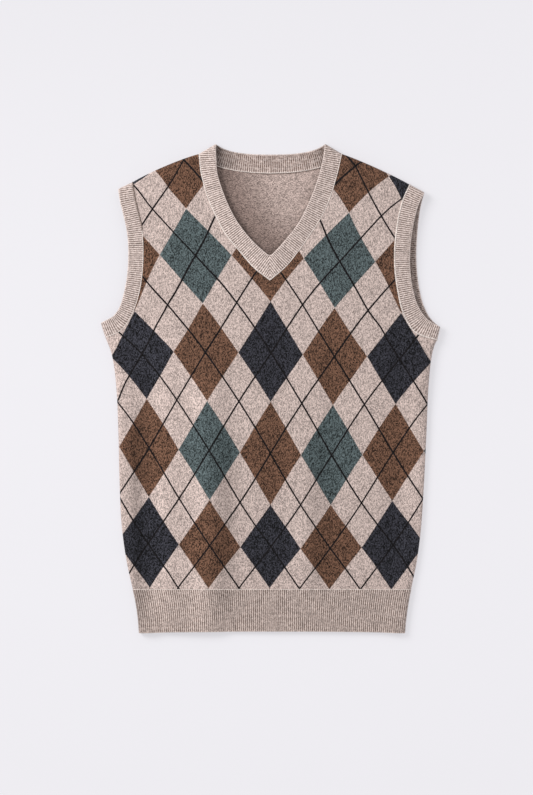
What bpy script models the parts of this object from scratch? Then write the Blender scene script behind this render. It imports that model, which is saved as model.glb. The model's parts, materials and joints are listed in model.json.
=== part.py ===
"""A knitted V-neck sweater vest, laid flat with its front up. Run it with: blender --background --python part.py

The vest is knitted in panels that are linked at their edges: a front and a back, each with a ribbed
hem, a ribbed neck band that is mitred at the point of the V, and a ribbed band round each armhole.
It lies on the plane z = 0. The back is the lower layer and the front lies on it, in soft folds that
run down the body. At the side seams, shoulders and underarms the cloth turns over in a round fold.

The tables are in millimetres. The objects are in metres, with +X to the right of someone who looks
down at the front, +Y towards the shoulders and +Z up. The origin is under the middle of the vest.
"""

import math

import bmesh
import bpy
from mathutils import Vector

MM = 0.001

# Walls of cloth, and the gap that separate pieces keep at a seam.
PANEL_WALL = 2.0
RIB_WALL = 2.4
BAND_WALL = 2.6
SEAM_GAP = 0.3

# At the underarm four pieces meet on a fold, and their seams are this much looser there.
CORNER_EASE = 0.6

# How far the ribbed pieces stand above the plain knitting beside them.
RIB_PROUD = RIB_WALL - PANEL_WALL
BAND_PROUD = BAND_WALL - PANEL_WALL

# The fold at the outline: the height of the side seam, how far in the cloth curves, and the short
# upright lip by which front and back are linked.
SEAM_HEIGHT = 4.5
FOLD_REACH = 5.0
SEAM_LIP = 0.8
FOLD_TURNS = (0, 30, 60, 90)

# Heights of the front's face above the ground: low on the body, higher over the chest.
LOW_LOFT = 5.6
CHEST_LOFT = 11.0
LOFT_FROM, LOFT_TO = -120.0, 210.0

# The swell inside each side fold, where the cloth springs up before it lies down.
SWELL_HEIGHT = 3.3
SWELL_PEAK = 12.0
SWELL_WIDTH = 13.0
SWELL_FADES_FROM, SWELL_FADES_TO = 20.0, 120.0

# Soft folds down the front: the crest at the top and at the bottom, the heights between which the
# fold runs, the widths of its long left slope and its steeper right slope, and how high it stands.
FOLDS = (
    # crest_top, crest_bottom, top, bottom, rise, fall, height
    (-80.0, -88.0, 90.0, -420.0, 96.0, 34.0, 4.4),
    (-8.0, -2.0, 60.0, -250.0, 42.0, 24.0, 1.3),
    (66.0, 62.0, 120.0, -300.0, 62.0, 26.0, 3.0),
    (150.0, 148.0, 110.0, -270.0, 56.0, 24.0, 2.4),
)
FOLD_FADE = 90.0

CENTRE_X = -0.8
UNDERARM = 71.0
HEM_SEAM = -281.0
HEM_EDGE = -340.3
HEM_CORNER_DROP = 2.3

# The outline of the body as it lies, from the hem up to the corner of the armhole band.
BODY_EDGE = (
    # height, left, right
    (-350.0, -184.0, 188.0),
    (-325.0, -185.6, 190.0),
    (-300.0, -189.0, 193.5),
    (-281.0, -193.2, 197.2),
    (-246.0, -201.0, 204.5),
    (-215.0, -206.0, 209.0),
    (-183.0, -209.5, 212.2),
    (-120.0, -212.0, 216.0),
    (-57.0, -213.5, 219.0),
    (5.0, -216.5, 221.8),
    (48.0, -222.5, 226.5),
    (72.5, -231.5, 233.5),
    (92.5, -238.0, 238.0),
)

# The armhole bands from the underarm fold up to the shoulder fold: where the band is sewn to the
# panel, and its free edge.
ARMHOLE = {
    "left": (
        # seam_x, seam_y, free_x, free_y
        (-231.5, 72.5, -238.0, 92.5),
        (-214.0, 79.5, -222.0, 101.0),
        (-203.0, 89.5, -215.5, 108.0),
        (-194.5, 104.0, -210.5, 117.0),
        (-187.5, 122.0, -206.5, 130.0),
        (-181.8, 146.0, -202.3, 149.5),
        (-179.0, 172.0, -199.7, 173.0),
        (-178.5, 200.0, -199.3, 199.0),
        (-180.5, 226.0, -201.5, 222.0),
        (-185.3, 248.0, -206.0, 243.0),
        (-190.0, 268.0, -210.5, 261.0),
        (-193.5, 287.6, -214.0, 277.5),
    ),
    "right": (
        (233.5, 69.0, 238.0, 87.0),
        (214.0, 74.5, 226.0, 93.5),
        (201.0, 81.5, 216.5, 101.5),
        (191.5, 95.0, 209.0, 112.5),
        (184.0, 112.5, 203.5, 124.5),
        (178.5, 138.0, 198.5, 145.0),
        (174.8, 164.0, 195.8, 167.5),
        (174.0, 190.0, 195.6, 191.0),
        (175.8, 216.0, 197.8, 214.0),
        (179.5, 241.0, 201.5, 236.0),
        (185.5, 264.0, 207.0, 256.5),
        (195.6, 286.4, 216.0, 275.5),
    ),
}
ARMHOLE_AT_V = 5 / 11
ARMHOLE_AT_BACK_NECK = 9.5 / 11

# The back armhole is cut less deep, so at one side its band shows beyond the front one.
BACK_ARMHOLE_OUT = {"left": 1.5, "right": 10.0}
BACK_ARMHOLE_ROUND = 0.7

# The front of the neck band, from the mitre at the point of the V up to the shoulder fold.
NECK_FRONT = {
    "left": (
        # seam_x, seam_y, free_x, free_y
        (-0.8, 152.7, -0.8, 187.3),
        (-23.3, 170.5, -6.5, 190.5),
        (-43.8, 194.0, -26.0, 208.5),
        (-64.0, 219.0, -44.0, 231.0),
        (-77.0, 244.0, -56.5, 253.0),
        (-88.2, 270.0, -66.5, 276.5),
        (-95.8, 298.0, -74.2, 302.0),
        (-98.4, 315.0, -75.8, 323.0),
        (-99.7, 329.5, -76.5, 342.6),
    ),
    "right": (
        (-0.8, 152.7, -0.8, 187.3),
        (22.0, 170.5, 4.0, 190.5),
        (41.5, 194.0, 20.5, 208.5),
        (58.5, 219.0, 38.0, 231.0),
        (73.0, 244.0, 50.0, 253.0),
        (84.0, 270.0, 60.0, 276.5),
        (92.4, 298.0, 68.5, 302.0),
        (96.6, 315.0, 73.5, 323.0),
        (99.7, 329.5, 76.5, 342.6),
    ),
}

# The right half of the back of the neck band, from the middle of the back to the shoulder fold.
NECK_BACK = (
    # seam_x, seam_y, free_x, free_y
    (0.0, 303.0, 0.0, 329.3),
    (33.0, 304.7, 27.5, 330.0),
    (62.0, 309.4, 51.5, 333.2),
    (84.0, 317.0, 66.8, 338.0),
    (99.7, 329.5, 76.5, 342.6),
)

# The shoulders bow out a little between the neck and the armhole.
SHOULDER_BOW = 4.5

# How finely the cloth is divided.
BODY_ROWS = 8
ROWS_TO_V = 5
ROWS_TO_BACK_NECK = 9
ROWS_TO_SHOULDER = 7
BACK_NECK_ROWS = 4
FRONT_COLUMNS = 10
BACK_COLUMNS = 3
HEM_ROWS = 3
BAND_COLUMNS = 2

BEIGE = (0.50, 0.40, 0.365, 1.0)
RIB_BEIGE = (0.42, 0.33, 0.295, 1.0)
SIDES = ("left", "right")


# ---------------------------------------------------------------- curves and tables


def smooth(share):
    share = min(1.0, max(0.0, share))
    return share * share * (3 - 2 * share)


def blend(a, b, share):
    return tuple(p + (q - p) * share for p, q in zip(a, b))


def along(rows, share):
    """The row at this share of a table, read as one smooth curve through its rows."""
    place = share * (len(rows) - 1)
    i = min(int(place), len(rows) - 2)
    f = place - i
    first, last = rows[i], rows[i + 1]
    before = rows[i - 1] if i else blend(last, first, 2)
    after = rows[i + 2] if i + 2 < len(rows) else blend(first, last, 2)
    return tuple(
        0.5 * (2 * b + (c - a) * f + (2 * a - 5 * b + 4 * c - d) * f**2 + (3 * b - a - 3 * c + d) * f**3)
        for a, b, c, d in zip(before, first, last, after)
    )


def edge_at(height, side):
    """The x of the body's outline at a height."""
    column = 1 + SIDES.index(side)
    i = max(k for k in range(len(BODY_EDGE) - 1) if BODY_EDGE[k][0] <= height or k == 0)
    low, high = BODY_EDGE[i], BODY_EDGE[i + 1]
    share = (height - low[0]) / (high[0] - low[0])
    slopes = []
    for k in (i, i + 1):
        a, b = BODY_EDGE[max(k - 1, 0)], BODY_EDGE[min(k + 1, len(BODY_EDGE) - 1)]
        slopes.append((b[column] - a[column]) / (b[0] - a[0]) * (high[0] - low[0]))
    f, g = share, 1 - share
    rise = high[column] - low[column]
    return low[column] + rise * smooth(f) + f * g * (slopes[0] * g - slopes[1] * f)


def share_near(rows, reach, at_end):
    """The share of a band's table at which the middle of the band is this far from one of its ends."""

    def middle(share):
        row = along(rows, share)
        return Vector(((row[0] + row[2]) / 2, (row[1] + row[3]) / 2))

    low, high = 0.0, 0.5
    for _ in range(30):
        half = (low + high) / 2
        share = 1 - half if at_end else half
        if (middle(share) - middle(float(at_end))).length < reach:
            low = half
        else:
            high = half
    return 1 - half if at_end else half


# ---------------------------------------------------------------- the form of the cloth


def fold_height(x, y):
    """What the soft folds add to the front at a place."""
    total = 0.0
    for crest_top, crest_bottom, top, bottom, rise, fall, height in FOLDS:
        down = (top - y) / (top - bottom)
        from_crest = x - (crest_top + (crest_bottom - crest_top) * down)
        width = fall if from_crest > 0 else rise
        across = 0.5 + 0.5 * math.cos(math.pi * min(1.0, abs(from_crest) / width))
        total += height * across * smooth((top - y) / FOLD_FADE) * smooth((y - bottom) / FOLD_FADE)
    return total


def front_height(x, y):
    """The height of the front's face, away from the folds at the outline."""
    height = LOW_LOFT + (CHEST_LOFT - LOW_LOFT) * smooth((y - LOFT_FROM) / (LOFT_TO - LOFT_FROM))
    inside = min(x - edge_at(min(y, BODY_EDGE[-1][0]), "left"), edge_at(min(y, BODY_EDGE[-1][0]), "right") - x)
    fade = 1 - smooth((y - SWELL_FADES_FROM) / (SWELL_FADES_TO - SWELL_FADES_FROM))
    swell = SWELL_HEIGHT * fade * math.exp(-(((inside - SWELL_PEAK) / SWELL_WIDTH) ** 2))
    return height + swell + fold_height(x, y)


def turn_of(degrees):
    """How far in from the fold, and what share of its height, the cloth is at a turn of the fold."""
    angle = math.radians(degrees)
    return FOLD_REACH * (1 - math.cos(angle)), math.sin(angle)


def fold_profile(cloth, height):
    """(distance in from the outline, share of the height) after this much cloth from the seam."""
    lip = SEAM_LIP / height
    if cloth <= SEAM_LIP:
        return 0.0, lip * cloth / SEAM_LIP
    degrees = (cloth - SEAM_LIP) / FOLD_REACH * 90
    if degrees >= 90:
        return cloth - SEAM_LIP, 1.0
    inset, share = turn_of(degrees)
    return inset, lip + (1 - lip) * share


FOLD_CLOTH = (0.0,) + tuple(SEAM_LIP + FOLD_REACH * turn / 90 for turn in FOLD_TURNS)
LAID_FLAT = FOLD_CLOTH[-1]


# ---------------------------------------------------------------- stations along the bands


def spread(start, end, count):
    """count shares after start, evenly up to and including end."""
    return [start + (end - start) * (k + 1) / count for k in range(count)]


def armhole_rows(side, layer):
    """The table of an armhole band, in the front or the back layer."""
    rows = ARMHOLE[side]
    if layer == "front":
        return rows
    out = BACK_ARMHOLE_OUT[side]
    moved = []
    for k, (seam_x, seam_y, free_x, free_y) in enumerate(rows):
        shift = out * max(0.0, math.sin(math.pi * k / (len(rows) - 1))) ** BACK_ARMHOLE_ROUND
        moved.append((seam_x + shift, seam_y, free_x + shift, free_y))
    return tuple(moved)


def armhole_stations(side, layer):
    """[(row, share of the height, cloth from the fold)] up an armhole, and how many come before the neckline."""
    rows = armhole_rows(side, layer)
    split = ARMHOLE_AT_V if layer == "front" else ARMHOLE_AT_BACK_NECK
    low_count = ROWS_TO_V if layer == "front" else ROWS_TO_BACK_NECK
    high_count = ROWS_TO_SHOULDER if layer == "front" else BACK_NECK_ROWS
    stations = []
    for turn, cloth in zip(FOLD_TURNS, FOLD_CLOTH[1:]):
        inset, share = turn_of(turn)
        place = share_near(rows, inset, at_end=False) if turn else 0.0
        stations.append((place, share, cloth if turn else SEAM_LIP / 2))
    last_turn = share_near(rows, FOLD_REACH, at_end=True)
    shares = spread(stations[-1][0], split, low_count) + spread(split, last_turn, high_count)
    stations += [(place, 1.0, LAID_FLAT) for place in shares]
    for turn in reversed(FOLD_TURNS[:-1]):
        inset, share = turn_of(turn)
        place = share_near(rows, inset, at_end=True) if turn else 1.0
        stations.append((place, share, LAID_FLAT))
    before_neck = len(FOLD_TURNS) + low_count - 1
    return [(along(rows, place), share, cloth) for place, share, cloth in stations], before_neck


def neck_stations(rows, count):
    """[(row, share of the height)] along half of the neck band, to its shoulder fold."""
    last_turn = share_near(rows, FOLD_REACH, at_end=True)
    stations = [(place, 1.0) for place in [0.0] + spread(0.0, last_turn, count)]
    for turn in reversed(FOLD_TURNS[:-1]):
        inset, share = turn_of(turn)
        stations.append((share_near(rows, inset, at_end=True) if turn else 1.0, share))
    return [(along(rows, place), share) for place, share in stations]


def neck_rows(side, layer):
    if layer == "front":
        return NECK_FRONT[side]
    sign = -1 if side == "left" else 1
    return tuple((sign * sx, sy, sign * fx, fy) for sx, sy, fx, fy in NECK_BACK)


def panel_edge(row, ease=0.0):
    """Where a panel ends, the seam gap away from the band that is sewn to it."""
    seam, free = Vector(row[:2]), Vector(row[2:])
    return seam + (seam - free).normalized() * (SEAM_GAP + ease)


# ---------------------------------------------------------------- cloth made from grids


def new_material(name, colour):
    material = bpy.data.materials.new(name)
    material.use_nodes = True
    shader = material.node_tree.nodes["Principled BSDF"]
    shader.inputs["Base Color"].default_value = colour
    shader.inputs["Roughness"].default_value = 0.95
    shader.inputs["Metallic"].default_value = 0.0
    material.diffuse_color = colour
    return material


def laid_grid(bm, columns, rows, place):
    """Adds a grid to bm whose vertex at (column, row) lies at place(column, row), in millimetres."""
    made = bmesh.ops.create_grid(bm, x_segments=columns, y_segments=rows, size=1)["verts"]
    for vert in made:
        column = round((vert.co.x + 1) / 2 * columns)
        row = round((vert.co.y + 1) / 2 * rows)
        vert.co = Vector(place(column, row)) * MM


def cloth_object(name, bm, wall, grows, colour, collection):
    """Finishes a sheet of cloth: its seams are merged, and Solidify gives it its wall."""
    bmesh.ops.remove_doubles(bm, verts=bm.verts, dist=0.01 * MM)
    mesh = bpy.data.meshes.new(name)
    bm.to_mesh(mesh)
    bm.free()
    mesh.materials.append(new_material(name, colour))
    cloth = bpy.data.objects.new(name, mesh)
    collection.objects.link(cloth)
    thick = cloth.modifiers.new("wall", "SOLIDIFY")
    thick.thickness = wall * MM
    thick.offset = grows
    thick.use_even_offset = True
    return cloth


def lip_share(layer):
    """The share of the height that the upright lip of a seam takes up."""
    return SEAM_LIP / seam_level(layer)


def seam_level(layer):
    return SEAM_HEIGHT + (SEAM_GAP / 2 if layer == "front" else -SEAM_GAP / 2)


def panel_place(row, side, columns, layer, proud):
    """The places of one row of a half panel, from left to right."""
    outer, inner, cloth, level, bow = row
    seam = seam_level(layer)
    reach = (inner - outer).normalized()
    start = fold_profile(cloth, seam)[0]
    profile = [fold_profile(cloth + extra, seam) for extra in FOLD_CLOTH]
    places = [(outer + reach * (inset - start), share) for inset, share in profile]
    last = places[-1][0]
    places += [(last.lerp(inner, (k + 1) / columns), 1.0) for k in range(columns)]
    points = []
    for place, share in places:
        across = (place - outer).length / (inner - outer).length
        x, y = place.x, place.y + bow * 4 * across * (1 - across)
        share *= level
        face = front_height(x, y) + proud
        z = seam + (face - seam) * share if layer == "front" else seam * (1 - share)
        points.append((x, y, z))
    return points if side == "left" else points[::-1]


def panel(name, rows, columns, layer, wall, proud, colour, collection):
    """A panel of cloth, made in two halves that share the centre line where they meet."""
    bm = bmesh.new()
    for side in SIDES:
        placed = [panel_place(row, side, columns, layer, proud) for row in rows[side]]
        laid_grid(bm, len(placed[0]) - 1, len(placed) - 1, lambda column, row: placed[row][column])
    grows = -1 if layer == "front" else 1
    return cloth_object(name, bm, wall, grows, colour, collection)


def body_rows(side, layer):
    """The rows of a half panel: (outer end, inner end, cloth from the fold, level, shoulder bow)."""
    stations, before_neck = armhole_stations(side, layer)
    count = ROWS_TO_SHOULDER if layer == "front" else BACK_NECK_ROWS
    neck = neck_stations(neck_rows(side, layer), count)
    foot = HEM_SEAM + SEAM_GAP / 2
    corner = panel_edge(stations[0][0]).y
    neck_foot = panel_edge(neck[0][0]).y
    rows = []
    for k in range(BODY_ROWS):
        height = foot + (corner - foot) * k / BODY_ROWS
        middle = foot + (UNDERARM - foot) * k / BODY_ROWS
        rows.append((Vector((edge_at(height, side), height)), Vector((CENTRE_X, middle)), 0.0, 1.0, 0.0))
    for k, (row, _, cloth) in enumerate(stations[:before_neck]):
        middle = UNDERARM + (neck_foot - UNDERARM) * k / before_neck
        ease = CORNER_EASE * max(0.0, 1 - k / len(FOLD_TURNS))
        rows.append((panel_edge(row, ease), Vector((CENTRE_X, middle)), cloth, 1.0, 0.0))
    for k, ((row, share, _), (neck_row, _)) in enumerate(zip(stations[before_neck:], neck)):
        inner = panel_edge(neck_row) if k else Vector((CENTRE_X, neck_foot))
        lip = lip_share(layer)
        level = share if share == 1.0 else lip + (1 - lip) * share
        rows.append((panel_edge(row), inner, LAID_FLAT, level, SHOULDER_BOW * (k / (len(neck) - 1)) ** 2))
    outer, inner = rows[-1][:2]
    rows.append((outer, inner, LAID_FLAT, 0.0, SHOULDER_BOW))
    return rows


def hem_rows(side):
    """The rows of half a hem, from its free edge up to its seam with the panel."""
    rows = []
    top = HEM_SEAM - SEAM_GAP / 2
    for k in range(HEM_ROWS + 1):
        up = k / HEM_ROWS
        low_edge = HEM_EDGE - HEM_CORNER_DROP
        outer_y = low_edge + (top - low_edge) * up
        inner_y = HEM_EDGE + (top - HEM_EDGE) * up
        rows.append((Vector((edge_at(outer_y, side), outer_y)), Vector((CENTRE_X, inner_y)), 0.0, 1.0, 0.0))
    return rows


def band(name, stations, colour, collection, turned_over):
    """A closed band: its stations run round the opening, each from the seam to the free edge."""
    bm = bmesh.new()

    def place(column, row):
        seam_x, seam_y, free_x, free_y, layer, share = stations[column]
        across = row / BAND_COLUMNS
        x = seam_x + (free_x - seam_x) * across
        y = seam_y + (free_y - seam_y) * across
        if layer == "front":
            return x, y, SEAM_HEIGHT + (front_height(x, y) + BAND_PROUD - SEAM_HEIGHT) * share
        return x, y, SEAM_HEIGHT * (1 - share)

    laid_grid(bm, len(stations) - 1, BAND_COLUMNS, place)
    if turned_over:
        bmesh.ops.reverse_faces(bm, faces=bm.faces)
    return cloth_object(name, bm, BAND_WALL, -1, colour, collection)


def armhole_band(side, collection):
    """Up the front of the armhole, over the shoulder, down the back and round the underarm."""
    front = [(*row, "front", share) for row, share, _ in armhole_stations(side, "front")[0]]
    back = [(*row, "back", share) for row, share, _ in armhole_stations(side, "back")[0]]
    ring = front + back[::-1][1:]
    return band(f"armhole_band_{side}", ring, RIB_BEIGE, collection, turned_over=side == "right")


def neck_band(collection):
    """From the mitre up the left of the V, round the back of the neck and down the right of the V."""
    parts = {}
    for side in SIDES:
        for layer, count in (("front", ROWS_TO_SHOULDER), ("back", BACK_NECK_ROWS)):
            stations = neck_stations(neck_rows(side, layer), count)
            parts[side, layer] = [(*row, layer, share) for row, share in stations]
    ring = parts["left", "front"] + parts["left", "back"][::-1][1:]
    ring += parts["right", "back"][1:] + parts["right", "front"][::-1][1:]
    return band("neck_band", ring, RIB_BEIGE, collection, turned_over=True)


def build():
    for old in list(bpy.data.objects):
        bpy.data.objects.remove(old)
    vest = bpy.data.collections.new("sweater_vest")
    bpy.context.scene.collection.children.link(vest)
    front = {side: body_rows(side, "front") for side in SIDES}
    back = {side: body_rows(side, "back") for side in SIDES}
    hem = {side: hem_rows(side) for side in SIDES}
    panel("front_panel", front, FRONT_COLUMNS, "front", PANEL_WALL, 0.0, BEIGE, vest)
    panel("back_panel", back, BACK_COLUMNS, "back", PANEL_WALL, 0.0, BEIGE, vest)
    panel("hem_rib_front", hem, FRONT_COLUMNS, "front", RIB_WALL, RIB_PROUD, RIB_BEIGE, vest)
    panel("hem_rib_back", hem, BACK_COLUMNS, "back", RIB_WALL, 0.0, RIB_BEIGE, vest)
    neck_band(vest)
    for side in SIDES:
        armhole_band(side, vest)


build()
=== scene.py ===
# %% [markdown]
# # A knitted argyle vest, laid flat
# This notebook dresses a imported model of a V-neck sweater vest. The vest lies on its back on a pale floor,
# with its front up. Each knitted piece gets a fine sheet of cloth in the place of its plain CAD solid, then
# the ribs, seams and soft folds that catch the light, and yarn colours that are worked out from the stitches.

# %% Load the frame
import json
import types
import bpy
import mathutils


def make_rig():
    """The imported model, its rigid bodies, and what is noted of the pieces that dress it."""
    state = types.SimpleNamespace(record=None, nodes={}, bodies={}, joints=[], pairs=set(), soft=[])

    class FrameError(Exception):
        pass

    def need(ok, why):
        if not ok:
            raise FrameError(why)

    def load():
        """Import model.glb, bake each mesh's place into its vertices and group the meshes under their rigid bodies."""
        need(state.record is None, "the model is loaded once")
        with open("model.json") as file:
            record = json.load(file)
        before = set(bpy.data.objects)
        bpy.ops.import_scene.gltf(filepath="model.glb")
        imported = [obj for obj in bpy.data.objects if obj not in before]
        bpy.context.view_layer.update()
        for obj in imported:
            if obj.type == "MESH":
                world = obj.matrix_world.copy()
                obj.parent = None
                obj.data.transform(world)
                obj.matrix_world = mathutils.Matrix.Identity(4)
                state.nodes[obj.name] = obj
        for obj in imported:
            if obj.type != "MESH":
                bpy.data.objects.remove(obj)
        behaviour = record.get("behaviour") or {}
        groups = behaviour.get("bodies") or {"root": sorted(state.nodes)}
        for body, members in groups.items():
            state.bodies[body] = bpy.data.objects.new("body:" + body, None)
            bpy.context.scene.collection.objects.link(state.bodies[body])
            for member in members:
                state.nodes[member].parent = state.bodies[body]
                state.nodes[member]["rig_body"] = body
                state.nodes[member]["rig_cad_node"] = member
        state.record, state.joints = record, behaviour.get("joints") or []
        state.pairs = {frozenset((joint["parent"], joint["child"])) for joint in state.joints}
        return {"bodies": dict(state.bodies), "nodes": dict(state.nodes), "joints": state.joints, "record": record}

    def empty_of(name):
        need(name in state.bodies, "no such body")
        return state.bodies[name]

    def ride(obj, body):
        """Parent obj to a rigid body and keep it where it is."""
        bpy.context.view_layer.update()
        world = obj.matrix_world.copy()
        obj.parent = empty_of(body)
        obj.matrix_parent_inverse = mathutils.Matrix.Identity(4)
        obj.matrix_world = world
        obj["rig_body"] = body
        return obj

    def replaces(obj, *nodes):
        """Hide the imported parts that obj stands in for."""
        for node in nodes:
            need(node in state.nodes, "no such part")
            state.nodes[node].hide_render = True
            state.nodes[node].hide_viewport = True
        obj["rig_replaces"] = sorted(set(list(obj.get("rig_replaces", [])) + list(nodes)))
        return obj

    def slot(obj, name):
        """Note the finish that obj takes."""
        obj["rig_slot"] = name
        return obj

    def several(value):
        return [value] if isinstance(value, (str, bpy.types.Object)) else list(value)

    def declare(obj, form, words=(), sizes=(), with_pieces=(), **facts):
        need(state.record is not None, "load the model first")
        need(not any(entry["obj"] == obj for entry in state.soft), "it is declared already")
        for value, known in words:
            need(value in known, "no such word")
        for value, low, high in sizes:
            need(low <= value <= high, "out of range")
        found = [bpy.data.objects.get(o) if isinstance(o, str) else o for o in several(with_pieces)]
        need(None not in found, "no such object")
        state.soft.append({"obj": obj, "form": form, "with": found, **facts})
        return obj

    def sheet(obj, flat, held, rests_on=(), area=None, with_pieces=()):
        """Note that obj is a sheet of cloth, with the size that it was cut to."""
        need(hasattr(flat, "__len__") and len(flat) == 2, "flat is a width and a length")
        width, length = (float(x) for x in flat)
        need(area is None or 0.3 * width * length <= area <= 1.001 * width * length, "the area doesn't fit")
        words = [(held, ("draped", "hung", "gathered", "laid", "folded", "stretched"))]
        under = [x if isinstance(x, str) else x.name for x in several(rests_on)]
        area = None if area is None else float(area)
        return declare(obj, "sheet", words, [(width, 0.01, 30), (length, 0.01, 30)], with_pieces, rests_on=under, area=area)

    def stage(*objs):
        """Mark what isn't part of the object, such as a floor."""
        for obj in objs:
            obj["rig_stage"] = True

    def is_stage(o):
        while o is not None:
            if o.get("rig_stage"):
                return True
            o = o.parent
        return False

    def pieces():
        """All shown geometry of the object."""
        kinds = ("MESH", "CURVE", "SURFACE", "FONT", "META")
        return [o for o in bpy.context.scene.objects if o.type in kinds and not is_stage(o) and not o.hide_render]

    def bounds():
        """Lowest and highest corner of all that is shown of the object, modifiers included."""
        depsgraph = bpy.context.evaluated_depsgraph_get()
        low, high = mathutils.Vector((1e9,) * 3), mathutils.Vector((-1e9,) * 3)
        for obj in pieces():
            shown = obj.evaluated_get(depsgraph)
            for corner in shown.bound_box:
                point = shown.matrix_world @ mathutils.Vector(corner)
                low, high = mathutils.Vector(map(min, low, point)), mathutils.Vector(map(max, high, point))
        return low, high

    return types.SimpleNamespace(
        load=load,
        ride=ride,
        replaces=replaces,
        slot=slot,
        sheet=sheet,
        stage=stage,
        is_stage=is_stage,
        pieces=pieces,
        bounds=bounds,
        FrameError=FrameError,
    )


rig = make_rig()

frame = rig.load()

import json
import math

import bmesh
import bpy
from mathutils import Vector, noise

MM = 0.001
cad_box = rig.bounds()
print("packed pieces:", sorted(frame["nodes"]))
print("size in mm:", [round((high - low) / MM, 1) for low, high in zip(*cad_box)])

# %% [markdown]
# ## The shape of the cloth
# A vest that lies flat is two sheets, one on the other, that turn into each other at the side seams and the
# shoulders. Its outline and the lines of its seams are short tables in millimetres, a row for each place
# where the line bends, and a smooth curve runs through the rows. Every sheet below is laid over these lines,
# so neighbours meet edge to edge.

# %% Tables of the outline, the armholes and the neck
BODY_EDGE = (
    # height, left, right
    (-350.0, -184.0, 188.0),
    (-325.0, -185.6, 190.0),
    (-300.0, -189.0, 193.5),
    (-281.0, -193.2, 197.2),
    (-246.0, -201.0, 204.5),
    (-215.0, -206.0, 209.0),
    (-183.0, -209.5, 212.2),
    (-120.0, -212.0, 216.0),
    (-57.0, -213.5, 219.0),
    (5.0, -216.5, 221.8),
    (48.0, -222.5, 226.5),
    (72.5, -231.5, 233.5),
    (92.5, -238.0, 238.0),
)
ARMHOLE = {
    "left": (
        # seam_x, seam_y, free_x, free_y
        (-231.5, 72.5, -238.0, 92.5),
        (-214.0, 79.5, -222.0, 101.0),
        (-203.0, 89.5, -215.5, 108.0),
        (-194.5, 104.0, -210.5, 117.0),
        (-187.5, 122.0, -206.5, 130.0),
        (-181.8, 146.0, -202.3, 149.5),
        (-179.0, 172.0, -199.7, 173.0),
        (-178.5, 200.0, -199.3, 199.0),
        (-180.5, 226.0, -201.5, 222.0),
        (-185.3, 248.0, -206.0, 243.0),
        (-190.0, 268.0, -210.5, 261.0),
        (-193.5, 290.0, -213.6, 280.5),
    ),
    "right": (
        (233.5, 69.0, 238.0, 87.0),
        (214.0, 74.5, 226.0, 93.5),
        (201.0, 81.5, 216.5, 101.5),
        (191.5, 95.0, 209.0, 112.5),
        (184.0, 112.5, 203.5, 124.5),
        (178.5, 138.0, 198.5, 145.0),
        (174.8, 164.0, 195.8, 167.5),
        (174.0, 190.0, 195.6, 191.0),
        (175.8, 216.0, 197.8, 214.0),
        (179.5, 241.0, 201.5, 236.0),
        (185.5, 264.0, 207.0, 256.5),
        (195.6, 286.4, 216.0, 275.5),
    ),
}
NECK_FRONT = {
    "left": (
        # seam_x, seam_y, free_x, free_y
        (-0.8, 152.7, -0.8, 187.3),
        (-23.3, 170.5, -6.5, 190.5),
        (-43.8, 194.0, -26.0, 208.5),
        (-64.0, 219.0, -44.0, 231.0),
        (-77.0, 244.0, -56.5, 253.0),
        (-88.2, 270.0, -66.5, 276.5),
        (-95.8, 298.0, -74.2, 302.0),
        (-98.4, 315.0, -75.8, 323.0),
        (-99.7, 329.8, -76.5, 343.8),
    ),
    "right": (
        (-0.8, 152.7, -0.8, 187.3),
        (21.2, 171.4, 4.0, 190.5),
        (40.4, 195.0, 20.5, 208.5),
        (57.6, 219.7, 38.0, 231.0),
        (73.0, 244.0, 50.0, 253.0),
        (84.0, 270.0, 60.0, 276.5),
        (92.4, 298.0, 68.5, 302.0),
        (96.6, 315.0, 73.5, 323.0),
        (99.7, 329.8, 76.5, 343.8),
    ),
}
NECK_BACK = (
    # seam_x, seam_y, free_x, free_y
    (0.0, 303.0, 0.0, 329.3),
    (33.0, 304.7, 27.5, 330.0),
    (62.0, 309.4, 51.5, 333.2),
    (84.0, 317.0, 66.8, 338.0),
    (99.7, 329.8, 76.5, 343.8),
)
SIDES = ("left", "right")
CENTRE_X = -0.8
UNDERARM = 71.0
HEM_SEAM = -281.0
HEM_EDGE = -340.3
HEM_CORNER_DROP = 2.3
SHOULDER_BOW = {"left": 3.3, "right": 2.3}
BOW_FULLNESS = 0.8
ARMHOLE_AT_V = 5 / 11
ARMHOLE_AT_BACK_NECK = 9.5 / 11
BACK_ARMHOLE_OUT = {"left": 1.5, "right": 10.0}
BACK_ARMHOLE_ROUND = 0.7

PANEL_WALL = 2.0
RIB_WALL = 2.4
BAND_WALL = 2.6
SEAM_GAP = 0.3
CORNER_EASE = 0.6
RIB_PROUD = RIB_WALL - PANEL_WALL
BAND_PROUD = BAND_WALL - PANEL_WALL
widest = max(high - low for _, low, high in BODY_EDGE)
print("body", round(widest), "mm wide at the underarm folds, hem at", HEM_EDGE)


# %% Read a table as a smooth curve
def smooth(share):
    share = min(1.0, max(0.0, share))
    return share * share * (3 - 2 * share)


def blend(a, b, share):
    return tuple(p + (q - p) * share for p, q in zip(a, b))


def along(rows, share):
    """The row at this share of a table, on one smooth curve through its rows."""
    place = share * (len(rows) - 1)
    i = min(int(place), len(rows) - 2)
    f = place - i
    first, last = rows[i], rows[i + 1]
    before = rows[i - 1] if i else blend(last, first, 2)
    after = rows[i + 2] if i + 2 < len(rows) else blend(first, last, 2)
    return tuple(
        0.5 * (2 * b + (c - a) * f + (2 * a - 5 * b + 4 * c - d) * f**2 + (3 * b - a - 3 * c + d) * f**3)
        for a, b, c, d in zip(before, first, last, after)
    )


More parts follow.
